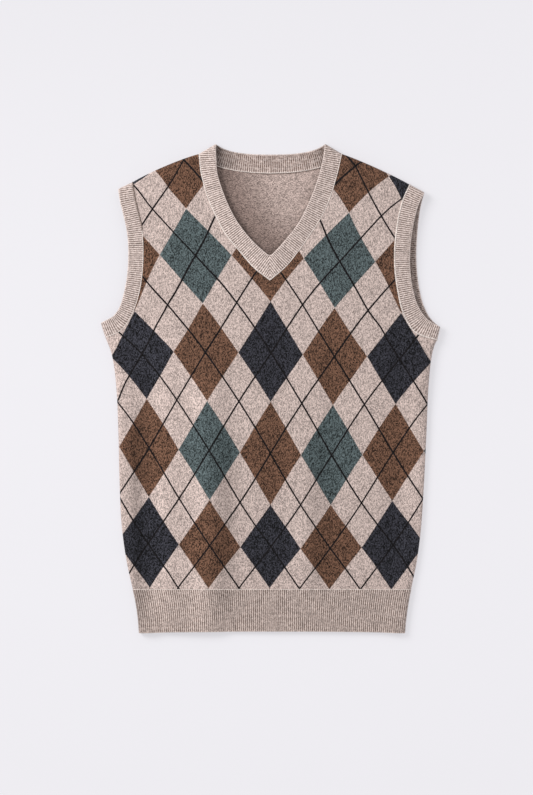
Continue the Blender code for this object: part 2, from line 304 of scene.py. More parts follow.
def edge_at(height, side):
    """The x of the body's outline at a height."""
    column = 1 + SIDES.index(side)
    i = max(k for k in range(len(BODY_EDGE) - 1) if BODY_EDGE[k][0] <= height or k == 0)
    low, high = BODY_EDGE[i], BODY_EDGE[i + 1]
    f = (height - low[0]) / (high[0] - low[0])
    slopes = []
    for k in (i, i + 1):
        a, b = BODY_EDGE[max(k - 1, 0)], BODY_EDGE[min(k + 1, len(BODY_EDGE) - 1)]
        slopes.append((b[column] - a[column]) / (b[0] - a[0]) * (high[0] - low[0]))
    g = 1 - f
    return low[column] + (high[column] - low[column]) * smooth(f) + f * g * (slopes[0] * g - slopes[1] * f)


print("outline at the waist:", [round(edge_at(-100, side), 1) for side in SIDES])

# %% [markdown]
# ## How the front lies on the back
# Fine wool has little stiffness, so a laid vest shows a few long, soft folds down the body rather than sharp
# creases. The height of the front is one function of the place on the floor: a gentle rise towards the
# chest, a swell inside each side fold, the long folds, and a slight unevenness that hand-smoothing leaves.
# One function keeps the panel and the ribs on one continuous surface.

# %% The height of the front
LOW_LOFT, CHEST_LOFT = 5.6, 11.0
LOFT_FROM, LOFT_TO = -120.0, 210.0
SWELL_HEIGHT, SWELL_PEAK, SWELL_WIDTH = 3.3, 12.0, 13.0
SWELL_FADES_FROM, SWELL_FADES_TO = 20.0, 120.0
FOLD_FADE = 90.0
FOLDS = (
    # crest_top, crest_bottom, top, bottom, rise, fall, height
    (-80.0, -88.0, 90.0, -420.0, 96.0, 34.0, 4.4),
    (-8.0, -2.0, 60.0, -250.0, 42.0, 24.0, 1.3),
    (66.0, 62.0, 120.0, -300.0, 62.0, 26.0, 3.0),
    (150.0, 148.0, 110.0, -270.0, 56.0, 24.0, 2.4),
)
RIPPLES = (
    # length across, length along, height
    (46.0, 90.0, 0.55),
    (19.0, 34.0, 0.22),
)


def fold_height(x, y):
    total = 0.0
    for crest_top, crest_bottom, top, bottom, rise, fall, height in FOLDS:
        down = (top - y) / (top - bottom)
        from_crest = x - (crest_top + (crest_bottom - crest_top) * down)
        width = fall if from_crest > 0 else rise
        across = 0.5 + 0.5 * math.cos(math.pi * min(1.0, abs(from_crest) / width))
        total += height * across * smooth((top - y) / FOLD_FADE) * smooth((y - bottom) / FOLD_FADE)
    return total


def ripple_height(x, y):
    return sum(h * noise.noise(Vector((x / across, y / up, h))) for across, up, h in RIPPLES)


def front_height(x, y):
    """The height of the front's face above the floor, away from the folds at the outline."""
    height = LOW_LOFT + (CHEST_LOFT - LOW_LOFT) * smooth((y - LOFT_FROM) / (LOFT_TO - LOFT_FROM))
    level = min(y, BODY_EDGE[-1][0])
    inside = min(x - edge_at(level, "left"), edge_at(level, "right") - x)
    fade = 1 - smooth((y - SWELL_FADES_FROM) / (SWELL_FADES_TO - SWELL_FADES_FROM))
    swell = SWELL_HEIGHT * fade * math.exp(-(((inside - SWELL_PEAK) / SWELL_WIDTH) ** 2))
    return height + swell + fold_height(x, y) + ripple_height(x, y)


WAIST = -100.0
ACROSS_THE_WAIST = range(-200, 201, 50)
print("height of the front along the waist:", [round(front_height(x, WAIST), 1) for x in ACROSS_THE_WAIST])

# %% [markdown]
# ### Painted shade on the folds
# Each soft fold gets painted light on the side that faces the light and painted shade on the side that
# turns away, so the two sides differ in tone. This table says how much paler or deeper the long bands are.

# %% The painted fold shade
FOLD_PAINTED_SHADE = (
    # x, half width, top, bottom, painted light (+) or painted shade (-)
    (-185.5, 9.0, -20.0, -360.0, -0.34),
    (-155.0, 15.0, 40.0, -360.0, 0.16),
    (-101.0, 15.0, 40.0, -360.0, 0.19),
    (-62.0, 17.0, -40.0, -330.0, -0.23),
    (-12.0, 10.0, -50.0, -300.0, -0.05),
    (38.0, 10.0, -160.0, -310.0, 0.08),
    (64.0, 12.0, -40.0, -300.0, -0.20),
    (204.0, 14.0, -40.0, -300.0, 0.13),
    (-178.0, 28.0, 105.0, 0.0, 0.22),
)
FOLD_PAINTED_SHADE_FADE = 45.0


# painted light and painted shade of the folds, as a factor less one
def painted_fold_shade_at(x, y):
    total = 0.0
    for middle, half, top, bottom, amount in FOLD_PAINTED_SHADE:
        across = math.exp(-(((x - middle) / half) ** 2))
        total += amount * across * smooth((top - y) / FOLD_PAINTED_SHADE_FADE) * smooth((y - bottom) / FOLD_PAINTED_SHADE_FADE)
    return math.exp(total) - 1


print("nap along the waist:", [round(painted_fold_shade_at(x, WAIST), 2) for x in ACROSS_THE_WAIST])

# %% [markdown]
# ## The round folds at the outline
# At the side seams and the shoulders the cloth turns over. Its cross-section there is close to a quarter of
# an ellipse on each layer. A point is placed by how much cloth lies between it and the seam, so the
# stitches keep their size as they go round the bend.

# %% Cross-section of a fold
SEAM_HEIGHT = 4.5
FOLD_REACH = 5.0
FOLD_CLOTH = 7.6
FOLD_STEPS = 7
SEAM_LIP = 0.8


def turned(cloth):
    """(distance in from the outline, share of the height) for this much cloth from the middle of a fold."""
    if cloth >= FOLD_CLOTH:
        return cloth - FOLD_CLOTH + FOLD_REACH, 1.0
    angle = math.pi / 2 * max(0.0, cloth) / FOLD_CLOTH
    return FOLD_REACH * (1 - math.cos(angle)), math.sin(angle)


FOLD_ROWS = [FOLD_CLOTH * k / FOLD_STEPS for k in range(FOLD_STEPS + 1)]
print("a fold takes up", FOLD_CLOTH, "mm of cloth on each layer and", FOLD_REACH, "mm of floor")


# %% Lines of the armholes and the neck
class SeamLine:
    """A table of (seam, free edge) rows that is read by the distance along the middle of its band."""

    SAMPLES = 240
    HEADING_STEP = 0.015

    def __init__(self, rows):
        self.rows = rows
        self.marks = [0.0]
        points = [self.middle(k / self.SAMPLES) for k in range(self.SAMPLES + 1)]
        for a, b in zip(points, points[1:]):
            self.marks.append(self.marks[-1] + (b - a).length)
        self.length = self.marks[-1]

    def middle(self, share):
        seam_x, seam_y, free_x, free_y = along(self.rows, share)
        return Vector(((seam_x + free_x) / 2, (seam_y + free_y) / 2))

    def share_at(self, distance):
        distance = min(self.length, max(0.0, distance))
        low, high = 0, self.SAMPLES
        while high - low > 1:
            half = (low + high) // 2
            low, high = (half, high) if self.marks[half] <= distance else (low, half)
        step = self.marks[high] - self.marks[low]
        return (low + (distance - self.marks[low]) / step) / self.SAMPLES

    def at(self, distance):
        return along(self.rows, self.share_at(distance))

    def heading(self, distance):
        """The direction of the middle of the band, as a unit vector on the floor."""
        step = self.HEADING_STEP
        share = min(1 - step, max(step, self.share_at(distance)))
        return (self.middle(share + step) - self.middle(share - step)).normalized()


def back_armhole(side):
    """The back armhole is cut less deep, so on one side its band shows beyond the front one."""
    rows = ARMHOLE[side]
    moved = []
    for k, (seam_x, seam_y, free_x, free_y) in enumerate(rows):
        bulge = max(0.0, math.sin(math.pi * k / (len(rows) - 1))) ** BACK_ARMHOLE_ROUND
        out = BACK_ARMHOLE_OUT[side] * bulge
        moved.append((seam_x + out, seam_y, free_x + out, free_y))
    return tuple(moved)


def back_neck(side):
    sign = -1 if side == "left" else 1
    return tuple((sign * sx, sy, sign * fx, fy) for sx, sy, fx, fy in NECK_BACK)


ARM_LINES = {(side, "front"): SeamLine(ARMHOLE[side]) for side in SIDES}
ARM_LINES.update({(side, "back"): SeamLine(back_armhole(side)) for side in SIDES})
NECK_LINES = {(side, "front"): SeamLine(NECK_FRONT[side]) for side in SIDES}
NECK_LINES.update({(side, "back"): SeamLine(back_neck(side)) for side in SIDES})
print("half a neck band:", round(sum(NECK_LINES["left", layer].length for layer in ("front", "back"))), "mm")

# %% [markdown]
# ## The argyle
# Argyle is knitted from a chart of diamonds that touch at their points, with thin lines laid over them half a
# diamond out of step. The chart is regular, but the cloth isn't: it is stretched a little over the chest and
# drawn in at the waist. So each half-row of the chart gets its real place at five columns, in millimetres,
# and the chart's own coordinates are then found for every point of the cloth. A second table draws the
# pattern a few millimetres aside where a seam pulls on the cloth. The pattern itself stays a formula.

# %% Where the chart lies on the front
CHART = (
    # row, x of columns -2 to 2, y of columns -2 to 2
    (-2.5, (-212, -126, -4, 128, 217), (350, 377, 386, 366, 332)),
    (-2.0, (-208, -121.8, -3, 119, 211), (297, 321, 322, 312, 283)),
    (-1.5, (-212, -117.6, -4, 109.3, 201), (252, 252, 252, 246.4, 238)),
    (-1.0, (-205, -105.1, -3.6, 96.9, 196.7), (189, 186.8, 187, 178.6, 177.8)),
    (-0.5, (-190.3, -94.8, -0.1, 90, 183.1), (109.2, 119.7, 122.4, 113.4, 106.4)),
    (0.0, (-180.3, -91.1, 1.0, 89.5, 180.9), (49, 51.4, 50.8, 45.4, 42)),
    (0.5, (-173.6, -88.8, 0.1, 87.6, 175.4), (-14, -16.8, -17.9, -22.4, -21)),
    (1.0, (-170.2, -86.1, 0, 85.8, 171.9), (-82.6, -85.8, -90.3, -92.7, -89)),
    (1.5, (-170.7, -85.4, 0, 84.4, 170.8), (-151.2, -155.4, -162.4, -162.4, -156.8)),
    (2.0, (-171.8, -85.1, 0.6, 83.6, 171.9), (-216.7, -219.4, -221.1, -223.3, -218.4)),
    (2.5, (-169.1, -86.9, -1.4, 82.6, 169.3), (-278.6, -279.2, -279.2, -281, -281.4)),
    (3.0, (-169.1, -86.9, -1.4, 82.6, 169.3), (-340, -340, -340, -341, -341)),
)
CHART_COLUMNS = (-2, -1, 0, 1, 2)
CHART_STEPS = 7
COLUMN_PITCH, ROW_PITCH, MIDDLE_ROW_AT = 88.0, 140.0, 50.0
COLUMN_STEP = 92.0
CHART_NUDGES = (
    # x, y, reach, how far the pattern is drawn there
    (-190.0, 279.0, 20, -5.0, 8.5),
    (-151.0, 272.0, 18, -1.7, -2.0),
    (-70.0, 247.0, 32, -5.5, 5.0),
    (63.0, 246.0, 32, 5.5, 5.0),
    (-96.0, 268.0, 14, -1.4, -1.4),
    (97.0, 270.0, 14, 1.2, -1.2),
    (-146.0, 118.0, 22, -1.4, 3.2),
    (-159.0, 89.0, 20, -2.0, 2.2),
    (156.0, 88.0, 20, 1.9, 2.2),
    (176.0, 283.0, 18, 1.6, 0.4),
    (-218.0, 55.0, 20, 1.2, -3.6),
    (220.0, 46.0, 20, -1.2, -3.0),
    (-214.0, -18.0, 20, 1.2, -5.0),
    (218.0, -16.0, 20, 0.9, -1.0),
    (-136.0, 51.0, 20, 0.0, 1.9),
    (135.0, 45.0, 20, 0.0, 1.9),
    (-129.0, -85.0, 20, -0.7, -0.6),
    (129.0, -89.6, 20, 0.0, -1.4),
    (-43.0, -88.0, 20, 0.0, -0.9),
    (42.0, -88.0, 20, 0.0, -0.9),
    (-129.0, -277.0, 20, -1.4, 0.4),
    (-42.0, -220.0, 20, 0.0, -1.3),
    (41.0, -222.0, 20, 0.0, -1.6),
    (127.0, -221.0, 20, 0.0, -1.6),
    (208.0, -218.0, 20, 0.0, -2.0),
    (-60.0, 158.0, 20, 1.0, 0.8),
)


CHART_ROWS = [xs + ys for _, xs, ys in CHART]


def chart_place(column, row):
    """The place on the cloth of a point of the chart."""
    share = min(1.0, max(0.0, (row - CHART[0][0]) / (CHART[-1][0] - CHART[0][0])))
    line = along(CHART_ROWS, share)
    count = len(CHART_COLUMNS)
    k = min(count - 2, max(0, math.floor(column) - CHART_COLUMNS[0]))
    f = column - CHART_COLUMNS[k]
    xs, ys = line[:count], line[count:]
    return xs[k] + (xs[k + 1] - xs[k]) * f, ys[k] + (ys[k + 1] - ys[k]) * f


def chart_coordinates(x, y):
    """The chart's (column, row) at a place on the cloth, found by a few steps of correction."""
    drawn_x = drawn_y = 0.0
    for at_x, at_y, reach, far_x, far_y in CHART_NUDGES:
        near = math.exp(-((x - at_x) ** 2 + (y - at_y) ** 2) / reach**2)
        drawn_x, drawn_y = drawn_x + far_x * near, drawn_y + far_y * near
    x, y = x - drawn_x, y - drawn_y
    column, row = x / COLUMN_PITCH, (MIDDLE_ROW_AT - y) / ROW_PITCH
    for _ in range(CHART_STEPS):
        at_x, at_y = chart_place(column, row)
        row = min(CHART[-1][0], max(CHART[0][0], row + (at_y - y) / ROW_PITCH))
        column += (x - at_x) / COLUMN_STEP
    return column, row


for place in ((0, 51), (-170, -82.6), (169, -281)):
    print("chart at", place, [round(v, 2) for v in chart_coordinates(*place)])

# %% [markdown]
# ## Yarn and stitches as materials
# The cloth is knitted from melange wool: each yarn is spun from light and dark fibres, so no two stitches
# have the same shade. A shader that knows which stitch a point belongs to can give every stitch its own tint.
# Each sheet therefore carries a UV map named "stitches" that counts wales across and courses along. The
# effects that several knits share are node groups, and the Principled BSDF stays in each material.

# %% Short calls for building node trees
class Net:
    """Adds nodes to a tree and joins them. A value may be a number, a colour or another node's socket."""

    def __init__(self, tree):
        self.tree = tree

    def feed(self, socket, value):
        if isinstance(value, bpy.types.NodeSocket):
            self.tree.links.new(value, socket)
        elif value is not None:
            socket.default_value = value

    def add(self, kind, values=(), **settings):
        made = self.tree.nodes.new(kind)
        for key, value in settings.items():
            setattr(made, key, value)
        for place, value in dict(values).items():
            self.feed(made.inputs[place], value)
        return made

    def math(self, operation, *values):
        return self.add("ShaderNodeMath", enumerate(values), operation=operation).outputs[0]

    def parts(self, vector):
        return self.add("ShaderNodeSeparateXYZ", {0: vector}).outputs[:2]

    def vector(self, x, y, z=0.0):
        return self.add("ShaderNodeCombineXYZ", enumerate((x, y, z))).outputs[0]

    def step(self, value, low, high, at_low=0.0, at_high=1.0):
        values = {0: value, 1: low, 2: high, 3: at_low, 4: at_high}
        return self.add("ShaderNodeMapRange", values, interpolation_type="SMOOTHSTEP").outputs[0]

    def mix(self, share, first, second):
        return self.add("ShaderNodeMix", {0: share, 6: first, 7: second}, data_type="RGBA").outputs[2]

    def scale(self, colour, factor):
        return self.add("ShaderNodeVectorMath", {0: colour, 3: factor}, operation="SCALE").outputs[0]

    def multiply(self, colour, tint):
        return self.add("ShaderNodeVectorMath", {0: colour, 1: tint}, operation="MULTIPLY").outputs[0]

    def stitch_noise(self, wale, course, across, up, seed=0.0, detail=1.0, roughness=0.5):
        """Noise on the stitch coordinates, with its own scale across and up."""
        place = self.vector(self.math("MULTIPLY", wale, across), self.math("MULTIPLY", course, up), seed)
        values = {"Vector": place, "Scale": 1.0, "Detail": detail, "Roughness": roughness}
        return self.add("ShaderNodeTexNoise", values).outputs[0]

    def white_noise(self, dimensions, **place):
        return self.add("ShaderNodeTexWhiteNoise", place, noise_dimensions=dimensions).outputs["Value"]

    def uv(self, name):
        return self.add("ShaderNodeUVMap", uv_map=name).outputs[0]


KINDS = {"vector": "NodeSocketVector", "colour": "NodeSocketColor", "value": "NodeSocketFloat"}


def node_group(name, inputs, outputs):
    """A new node group with its named sockets: (net, its inputs by name, the output node)."""
    tree = bpy.data.node_groups.new(name, "ShaderNodeTree")
    for in_out, sockets in (("INPUT", inputs), ("OUTPUT", outputs)):
        for label, kind in sockets.items():
            tree.interface.new_socket(label, in_out=in_out, socket_type=KINDS[kind])
    net = Net(tree)
    entry = net.add("NodeGroupInput")
    return net, {label: entry.outputs[label] for label in inputs}, net.add("NodeGroupOutput")


def use_group(net, group, **values):
    made = net.add("ShaderNodeGroup", node_tree=group)
    for label, value in values.items():
        net.feed(made.inputs[label], value)
    return made


print("socket kinds:", ", ".join(KINDS))

# %% [markdown]
# ### Melange yarn
# Three sizes of unevenness add up: fibres that show as short streaks along the wale, a tint that each leg of
# a stitch has for itself, and slow clouds where the yarn was thicker or lighter. A few dark fibres gather
# into specks. The group multiplies a yarn's colour by all of them, and more strongly in dark yarns, where the
# undyed fibres show up most.

# %% Group: melange
STREAKS, TINTS, CLOUDS, SPECKS = 0.6, 1.75, 0.4, 0.3
TINTS_PER_WALE, TINTS_PER_COURSE = 1.5, 0.85
DARK_POWER, DARK_SCALE, DARK_MOST = -0.38, 0.73, 3.0
DARKEST = 0.1
net, given, out = node_group(
    "melange", {"Stitches": "vector", "Colour": "colour", "Contrast": "value"}, {"Colour": "colour"}
)
wale, course = net.parts(given["Stitches"])
streaks = net.stitch_noise(wale, course, 1.6, 0.8, roughness=0.6)
column = net.math("FLOOR", net.math("MULTIPLY", wale, TINTS_PER_WALE))
shift = net.white_noise("1D", W=column)
loop = net.math("FLOOR", net.math("ADD", net.math("MULTIPLY", course, TINTS_PER_COURSE), shift))
tint = net.white_noise("2D", Vector=net.vector(column, loop))
clouds = net.stitch_noise(wale, course, 0.09, 0.06, seed=7.0, detail=2.0)
specks = net.stitch_noise(wale, course, 1.0, 0.7, seed=31.0, detail=0.0)
uneven = 0.0
for effect, strength in ((streaks, STREAKS), (tint, TINTS), (clouds, CLOUDS)):
    uneven = net.math("MULTIPLY_ADD", net.math("SUBTRACT", effect, 0.5), strength, uneven)
uneven = net.math("SUBTRACT", uneven, net.step(specks, 0.78, 0.88, 0.0, SPECKS))
lightness = net.add("ShaderNodeRGBToBW", {0: given["Colour"]}).outputs[0]
darkness = net.math("MULTIPLY", net.math("POWER", lightness, DARK_POWER), DARK_SCALE)
contrast = net.math("MULTIPLY", given["Contrast"], net.math("MINIMUM", darkness, DARK_MOST))
factor = net.math("MAXIMUM", net.math("MULTIPLY_ADD", uneven, contrast, 1.0), DARKEST)
net.feed(out.inputs["Colour"], net.scale(given["Colour"], factor))
melange = net.tree
print("group", melange.name, "has", len(melange.nodes), "nodes")

# %% [markdown]
# ### Stockinette relief
# On its right side plain knitting is columns of small Vs: two legs lean together in each wale, and each
# course tucks under the next. Folding the wale coordinate about its middle gives both legs at once, and
# adding some of it to the course coordinate tilts them. The hollows between the legs get painted shade, and the legs a
# little painted light.

# %% Group: stockinette
LEG_TILT = 1.3
# painted shade in the hollows between the legs, painted light on the legs
HOLLOW_PAINTED_SHADE, LEG_PAINTED_LIGHT = 0.22, 1.07
net, given, out = node_group("stockinette", {"Stitches": "vector"}, {"Height": "value", "Shade": "value"})
wale, course = net.parts(given["Stitches"])
from_middle = net.math("ABSOLUTE", net.math("SUBTRACT", net.math("FRACT", wale), 0.5))
across_leg = net.math("ABSOLUTE", net.math("MULTIPLY_ADD", from_middle, 4.0, -1.0))
leg_round = net.math("SUBTRACT", 1.0, net.math("POWER", across_leg, 2.0))
tilted = net.math("FRACT", net.math("MULTIPLY_ADD", from_middle, LEG_TILT, course))
along_leg = net.math("ABSOLUTE", net.math("MULTIPLY_ADD", tilted, 2.0, -1.0))
tuck = net.math("SUBTRACT", 1.0, net.math("POWER", along_leg, 3.0))
leg = net.math("SQRT", net.math("MAXIMUM", leg_round, 0.0))
height = net.math("MULTIPLY", leg, net.math("SQRT", tuck))
net.feed(out.inputs["Height"], height)
hollow = net.step(height, 0.15, 0.75, 1.0, 0.0)
net.feed(out.inputs["Shade"], net.math("MULTIPLY_ADD", hollow, -HOLLOW_PAINTED_SHADE, LEG_PAINTED_LIGHT))
stockinette = net.tree
print("group", stockinette.name, "has", len(stockinette.nodes), "nodes")

# %% [markdown]
# ### Ribs, painted fold shade and links
# In a one-by-one rib every second wale sinks, more in some places than in others, and painted shade darkens
# the sunk wales; the cord at the free edge stays level and gets little of it. The painted fold shade group makes a
# colour paler or deeper by its table.
# In a linking chain each loop dives under the next, and painted shade makes a dark nick between two links.

# %% Group: painted rib valley shade
# painted shade in the rib valleys: SHALLOWEST is the lightest share of it, and the free edge's cord keeps less of it
SHALLOWEST = 0.55
CORD_EDGE = (0.08, 0.16)
CORD_LEVELS = 0.75
net, given, out = node_group("painted rib valley shade", {"Stitches": "vector", "Edge": "vector"}, {"Valley shade": "value"})
wale, course = net.parts(given["Stitches"])
wave = net.math("COSINE", net.math("MULTIPLY", wale, math.pi))
depth = net.stitch_noise(wale, course, 0.16, 0.35, seed=3.0, detail=2.0, roughness=0.6)
valley_shade = net.math("MULTIPLY", net.step(wave, -0.6, 0.6, 1.0, 0.0), net.step(depth, 0.3, 0.6, SHALLOWEST, 1.0))
edge, _ = net.parts(given["Edge"])
cord = net.step(edge, *CORD_EDGE, 1.0, 0.0)
level = net.math("MULTIPLY_ADD", cord, -CORD_LEVELS, 1.0)
net.feed(out.inputs["Valley shade"], net.math("MULTIPLY", valley_shade, level))
rib_valley_shade = net.tree

# %% Group: painted fold shade
net, given, out = node_group("painted fold shade", {"Nap": "vector", "Colour": "colour"}, {"Colour": "colour"})
nap, _ = net.parts(given["Nap"])
net.feed(out.inputs["Colour"], net.scale(given["Colour"], net.math("ADD", nap, 1.0)))
painted_shade_tone = net.tree

# %% Group: chain links
FIBRES_PER_METRE = 2400.0
net, given, out = node_group(
    "chain links", {"Stitches": "vector", "Place": "vector", "Gap shade": "value"},
    {"Shade": "value", "Height": "value"},
)
_, link = net.parts(given["Stitches"])
dive = net.math("COSINE", net.math("MULTIPLY", link, 2 * math.pi))
net.feed(out.inputs["Shade"], net.step(dive, -0.7, 0.3, given["Gap shade"], 1.0))
fibres = net.add("ShaderNodeTexNoise", {"Vector": given["Place"], "Scale": FIBRES_PER_METRE})
net.feed(out.inputs["Height"], fibres.outputs[0])
chain_links = net.tree
print("groups:", [group.name for group in bpy.data.node_groups])

# %% [markdown]
# ### The argyle chart
# In chart coordinates a diamond is every point whose distances from its centre, across and along, add up to
# less than a half. Rounding the coordinates finds the nearest centre, and whether the rounded numbers are
# odd or even picks the yarn. The thin lines run where the sum or the difference of the coordinates is whole.

# %% Group: argyle
DIAMOND_EDGE = 0.006
LINE_EDGE = 0.0035
net, given, out = node_group(
    "argyle",
    {
        "Chart": "vector", "Ground": "colour", "Even yarn": "colour", "Odd yarn": "colour",
        "Between yarn": "colour", "Line": "colour", "Line width": "value",
    },
    {"Colour": "colour"},
)
column, row = net.parts(given["Chart"])
near_column, near_row = net.math("ROUND", column), net.math("ROUND", row)
from_centre = net.math(
    "ADD",
    net.math("ABSOLUTE", net.math("SUBTRACT", column, near_column)),
    net.math("ABSOLUTE", net.math("SUBTRACT", row, near_row)),
)
in_diamond = net.step(from_centre, 0.5 - DIAMOND_EDGE, 0.5 + DIAMOND_EDGE, 1.0, 0.0)
between = net.math("FLOORED_MODULO", net.math("ADD", near_column, near_row), 2.0)
odd_column = net.math("FLOORED_MODULO", near_column, 2.0)
yarn = net.mix(odd_column, given["Even yarn"], given["Odd yarn"])
yarn = net.mix(between, yarn, given["Between yarn"])
colour = net.mix(in_diamond, given["Ground"], yarn)
gaps = []
for operation in ("ADD", "SUBTRACT"):
    diagonal = net.math(operation, column, row)
    gaps.append(net.math("ABSOLUTE", net.math("SUBTRACT", diagonal, net.math("ROUND", diagonal))))
from_line = net.math("SUBTRACT", net.math("MINIMUM", *gaps), given["Line width"])
on_line = net.step(from_line, -LINE_EDGE, LINE_EDGE, 1.0, 0.0)
net.feed(out.inputs["Colour"], net.mix(on_line, colour, given["Line"]))
argyle = net.tree
print("group", argyle.name, "has", len(argyle.nodes), "nodes")

# %% [markdown]
# ### The finishes
# Wool is matte with a faint bloom of loose fibres, which the sheen lobe gives. The front has the argyle, the
# back is plain and shows its purl side at the neck, with painted shadow inside the neck, and the ribs have painted
# shade in their valleys, where the purl stitches sink between the knit ones. All share the melange, so they look like
# one yarn.

# %% Yarn colours
BEIGE = (0.53, 0.43, 0.398, 1.0)
RIB_BEIGE = (0.79, 0.67, 0.63, 1.0)
HEM_BEIGE = (0.635, 0.53, 0.49, 1.0)
# a darker copy of the beige yarn: painted shade for the hollow inside the neck
INSIDE_BEIGE_IN_SHADE = (0.495, 0.39, 0.357, 1.0)
NAVY = (0.0232, 0.0235, 0.0305, 1.0)
TEAL = (0.075, 0.098, 0.103, 1.0)
BROWN = (0.128, 0.066, 0.042, 1.0)
BLACK = (0.006, 0.005, 0.006, 1.0)
KNIT_CONTRAST, RIB_CONTRAST, CHAIN_CONTRAST = 0.60, 0.42, 0.35
KNIT_BUMP, PURL_BUMP, RIB_BUMP, CHAIN_BUMP = 0.6, 0.7, 0.5, 0.4
KNIT_SHEEN, RIB_SHEEN = 0.04, 0.03
WOOL_ROUGHNESS, WOOL_SPECULAR, BLOOM_ROUGHNESS = 0.92, 0.2, 0.45
BUMP_DEPTH = 0.35 * MM


def new_finish(name, sheen):
    material = bpy.data.materials.new(name)
    material.use_nodes = True
    net = Net(material.node_tree)
    shader = material.node_tree.nodes["Principled BSDF"]
    shader.inputs["Roughness"].default_value = WOOL_ROUGHNESS
    shader.inputs["Specular IOR Level"].default_value = WOOL_SPECULAR
    shader.inputs["Sheen Weight"].default_value = sheen
    shader.inputs["Sheen Roughness"].default_value = BLOOM_ROUGHNESS
    return material, net, shader


def add_relief(net, shader, height, strength):
    values = {"Strength": strength, "Distance": BUMP_DEPTH, "Height": height}
    net.feed(shader.inputs["Normal"], net.add("ShaderNodeBump", values).outputs[0])


# %% Finish: argyle knit
LINE_WIDTH = 0.0155
argyle_knit, net, shader = new_finish("argyle knit", KNIT_SHEEN)
stitches = net.uv("stitches")
chart = use_group(
    net, argyle, Chart=net.uv("chart"), Ground=BEIGE, Line=BLACK,
    **{"Even yarn": NAVY, "Odd yarn": TEAL, "Between yarn": BROWN, "Line width": LINE_WIDTH},
)
yarn = use_group(net, melange, Stitches=stitches, Colour=chart.outputs["Colour"], Contrast=KNIT_CONTRAST)
relief = use_group(net, stockinette, Stitches=stitches)
shaded = net.scale(yarn.outputs["Colour"], relief.outputs["Shade"])
# painted light and painted shade of the folds, from the third UV map
with_painted_shade = use_group(net, painted_shade_tone, Nap=net.uv("nap"), Colour=shaded)
net.feed(shader.inputs["Base Color"], with_painted_shade.outputs["Colour"])
add_relief(net, shader, relief.outputs["Height"], KNIT_BUMP)


# %% Finish: plain knit, right side
plain_knit, net, shader = new_finish("plain knit", KNIT_SHEEN)
stitches = net.uv("stitches")
yarn = use_group(net, melange, Stitches=stitches, Colour=BEIGE, Contrast=KNIT_CONTRAST)
relief = use_group(net, stockinette, Stitches=stitches)
net.feed(shader.inputs["Base Color"], net.scale(yarn.outputs["Colour"], relief.outputs["Shade"]))
add_relief(net, shader, relief.outputs["Height"], KNIT_BUMP)

# %% [markdown]
# The purl side of the same cloth is rows of small round loops. A cell pattern on the stitch coordinates
# gives loops of uneven size, with painted shade between them. Inside the neck a painted shadow darkens it towards the
# left of the V and its point, and a fine line of painted shade runs just below the seam where the back neck band is
# linked on.

# %% Finish: plain knit, purl side
# Painted shadow and a line of painted shade inside the neck. Distances here are in decimetres, as the back cloth's
# marks give them.
PAINTED_SHADOW_REACH, PAINTED_SHADOW_MOST = (0.10, 0.78), 0.88
SEAM_SHADE_AT, SEAM_SHADE_REACH, SEAM_SHADE = 0.016, (0.004, 0.016), 0.7
PAINTED_SHADOW_TINT = (0.44, 0.40, 0.385)
purl_knit, net, shader = new_finish("purl side", KNIT_SHEEN)
wale, course = net.parts(net.uv("stitches"))
values = {"Vector": net.vector(wale, course), "Scale": 1.0}
cells = net.add("ShaderNodeTexVoronoi", values, voronoi_dimensions="2D")
loops = net.step(cells.outputs["Distance"], 0.05, 0.65, 1.0, 0.0)
yarn = use_group(net, melange, Stitches=net.vector(course, wale), Colour=INSIDE_BEIGE_IN_SHADE, Contrast=KNIT_CONTRAST)
loop_shade = net.math("MULTIPLY_ADD", loops, 0.34, 0.80)
from_band, from_seam = net.parts(net.uv("chart"))
painted_shadow = net.step(from_band, *PAINTED_SHADOW_REACH, PAINTED_SHADOW_MOST, 0.0)
from_line = net.math("ABSOLUTE", net.math("SUBTRACT", from_seam, SEAM_SHADE_AT))
painted_shadow = net.math("MAXIMUM", painted_shadow, net.step(from_line, *SEAM_SHADE_REACH, SEAM_SHADE, 0.0))
lit = net.scale(yarn.outputs["Colour"], loop_shade)
net.feed(shader.inputs["Base Color"], net.mix(painted_shadow, lit, net.multiply(lit, PAINTED_SHADOW_TINT)))
add_relief(net, shader, loops, PURL_BUMP)


# %% Finish: rib
# painted shade in the rib valleys
VALLEY_PAINTED_SHADE = (0.28, 0.235, 0.215)


def rib_finish(name, colour):
    material, net, shader = new_finish(name, RIB_SHEEN)
    stitches = net.uv("stitches")
    valley_shade = use_group(net, rib_valley_shade, Stitches=stitches, Edge=net.uv("chart")).outputs["Valley shade"]
    yarn = use_group(net, melange, Stitches=stitches, Colour=colour, Contrast=RIB_CONTRAST).outputs["Colour"]
    ribbed = net.mix(valley_shade, yarn, net.multiply(yarn, VALLEY_PAINTED_SHADE))
    with_painted_shade = use_group(net, painted_shade_tone, Nap=net.uv("nap"), Colour=ribbed)
    net.feed(shader.inputs["Base Color"], with_painted_shade.outputs["Colour"])
    relief = use_group(net, stockinette, Stitches=stitches)
    add_relief(net, shader, relief.outputs["Height"], RIB_BUMP)
    return material


band_rib = rib_finish("band rib", RIB_BEIGE)
hem_rib = rib_finish("hem rib", HEM_BEIGE)
print("finishes:", [m.name for m in (argyle_knit, plain_knit, purl_knit, band_rib, hem_rib)])

# %% [markdown]
# ## Laying a sheet of cloth
# Every knitted piece starts as a flat grid from Blender's own operator, and each of its points is moved to
# its place on the vest. The same step writes three UV maps: the stitches, the chart and the painted shade.
# Solidify then gives the cloth its wall on the inner side, so the outer face stays exactly where the tables say.

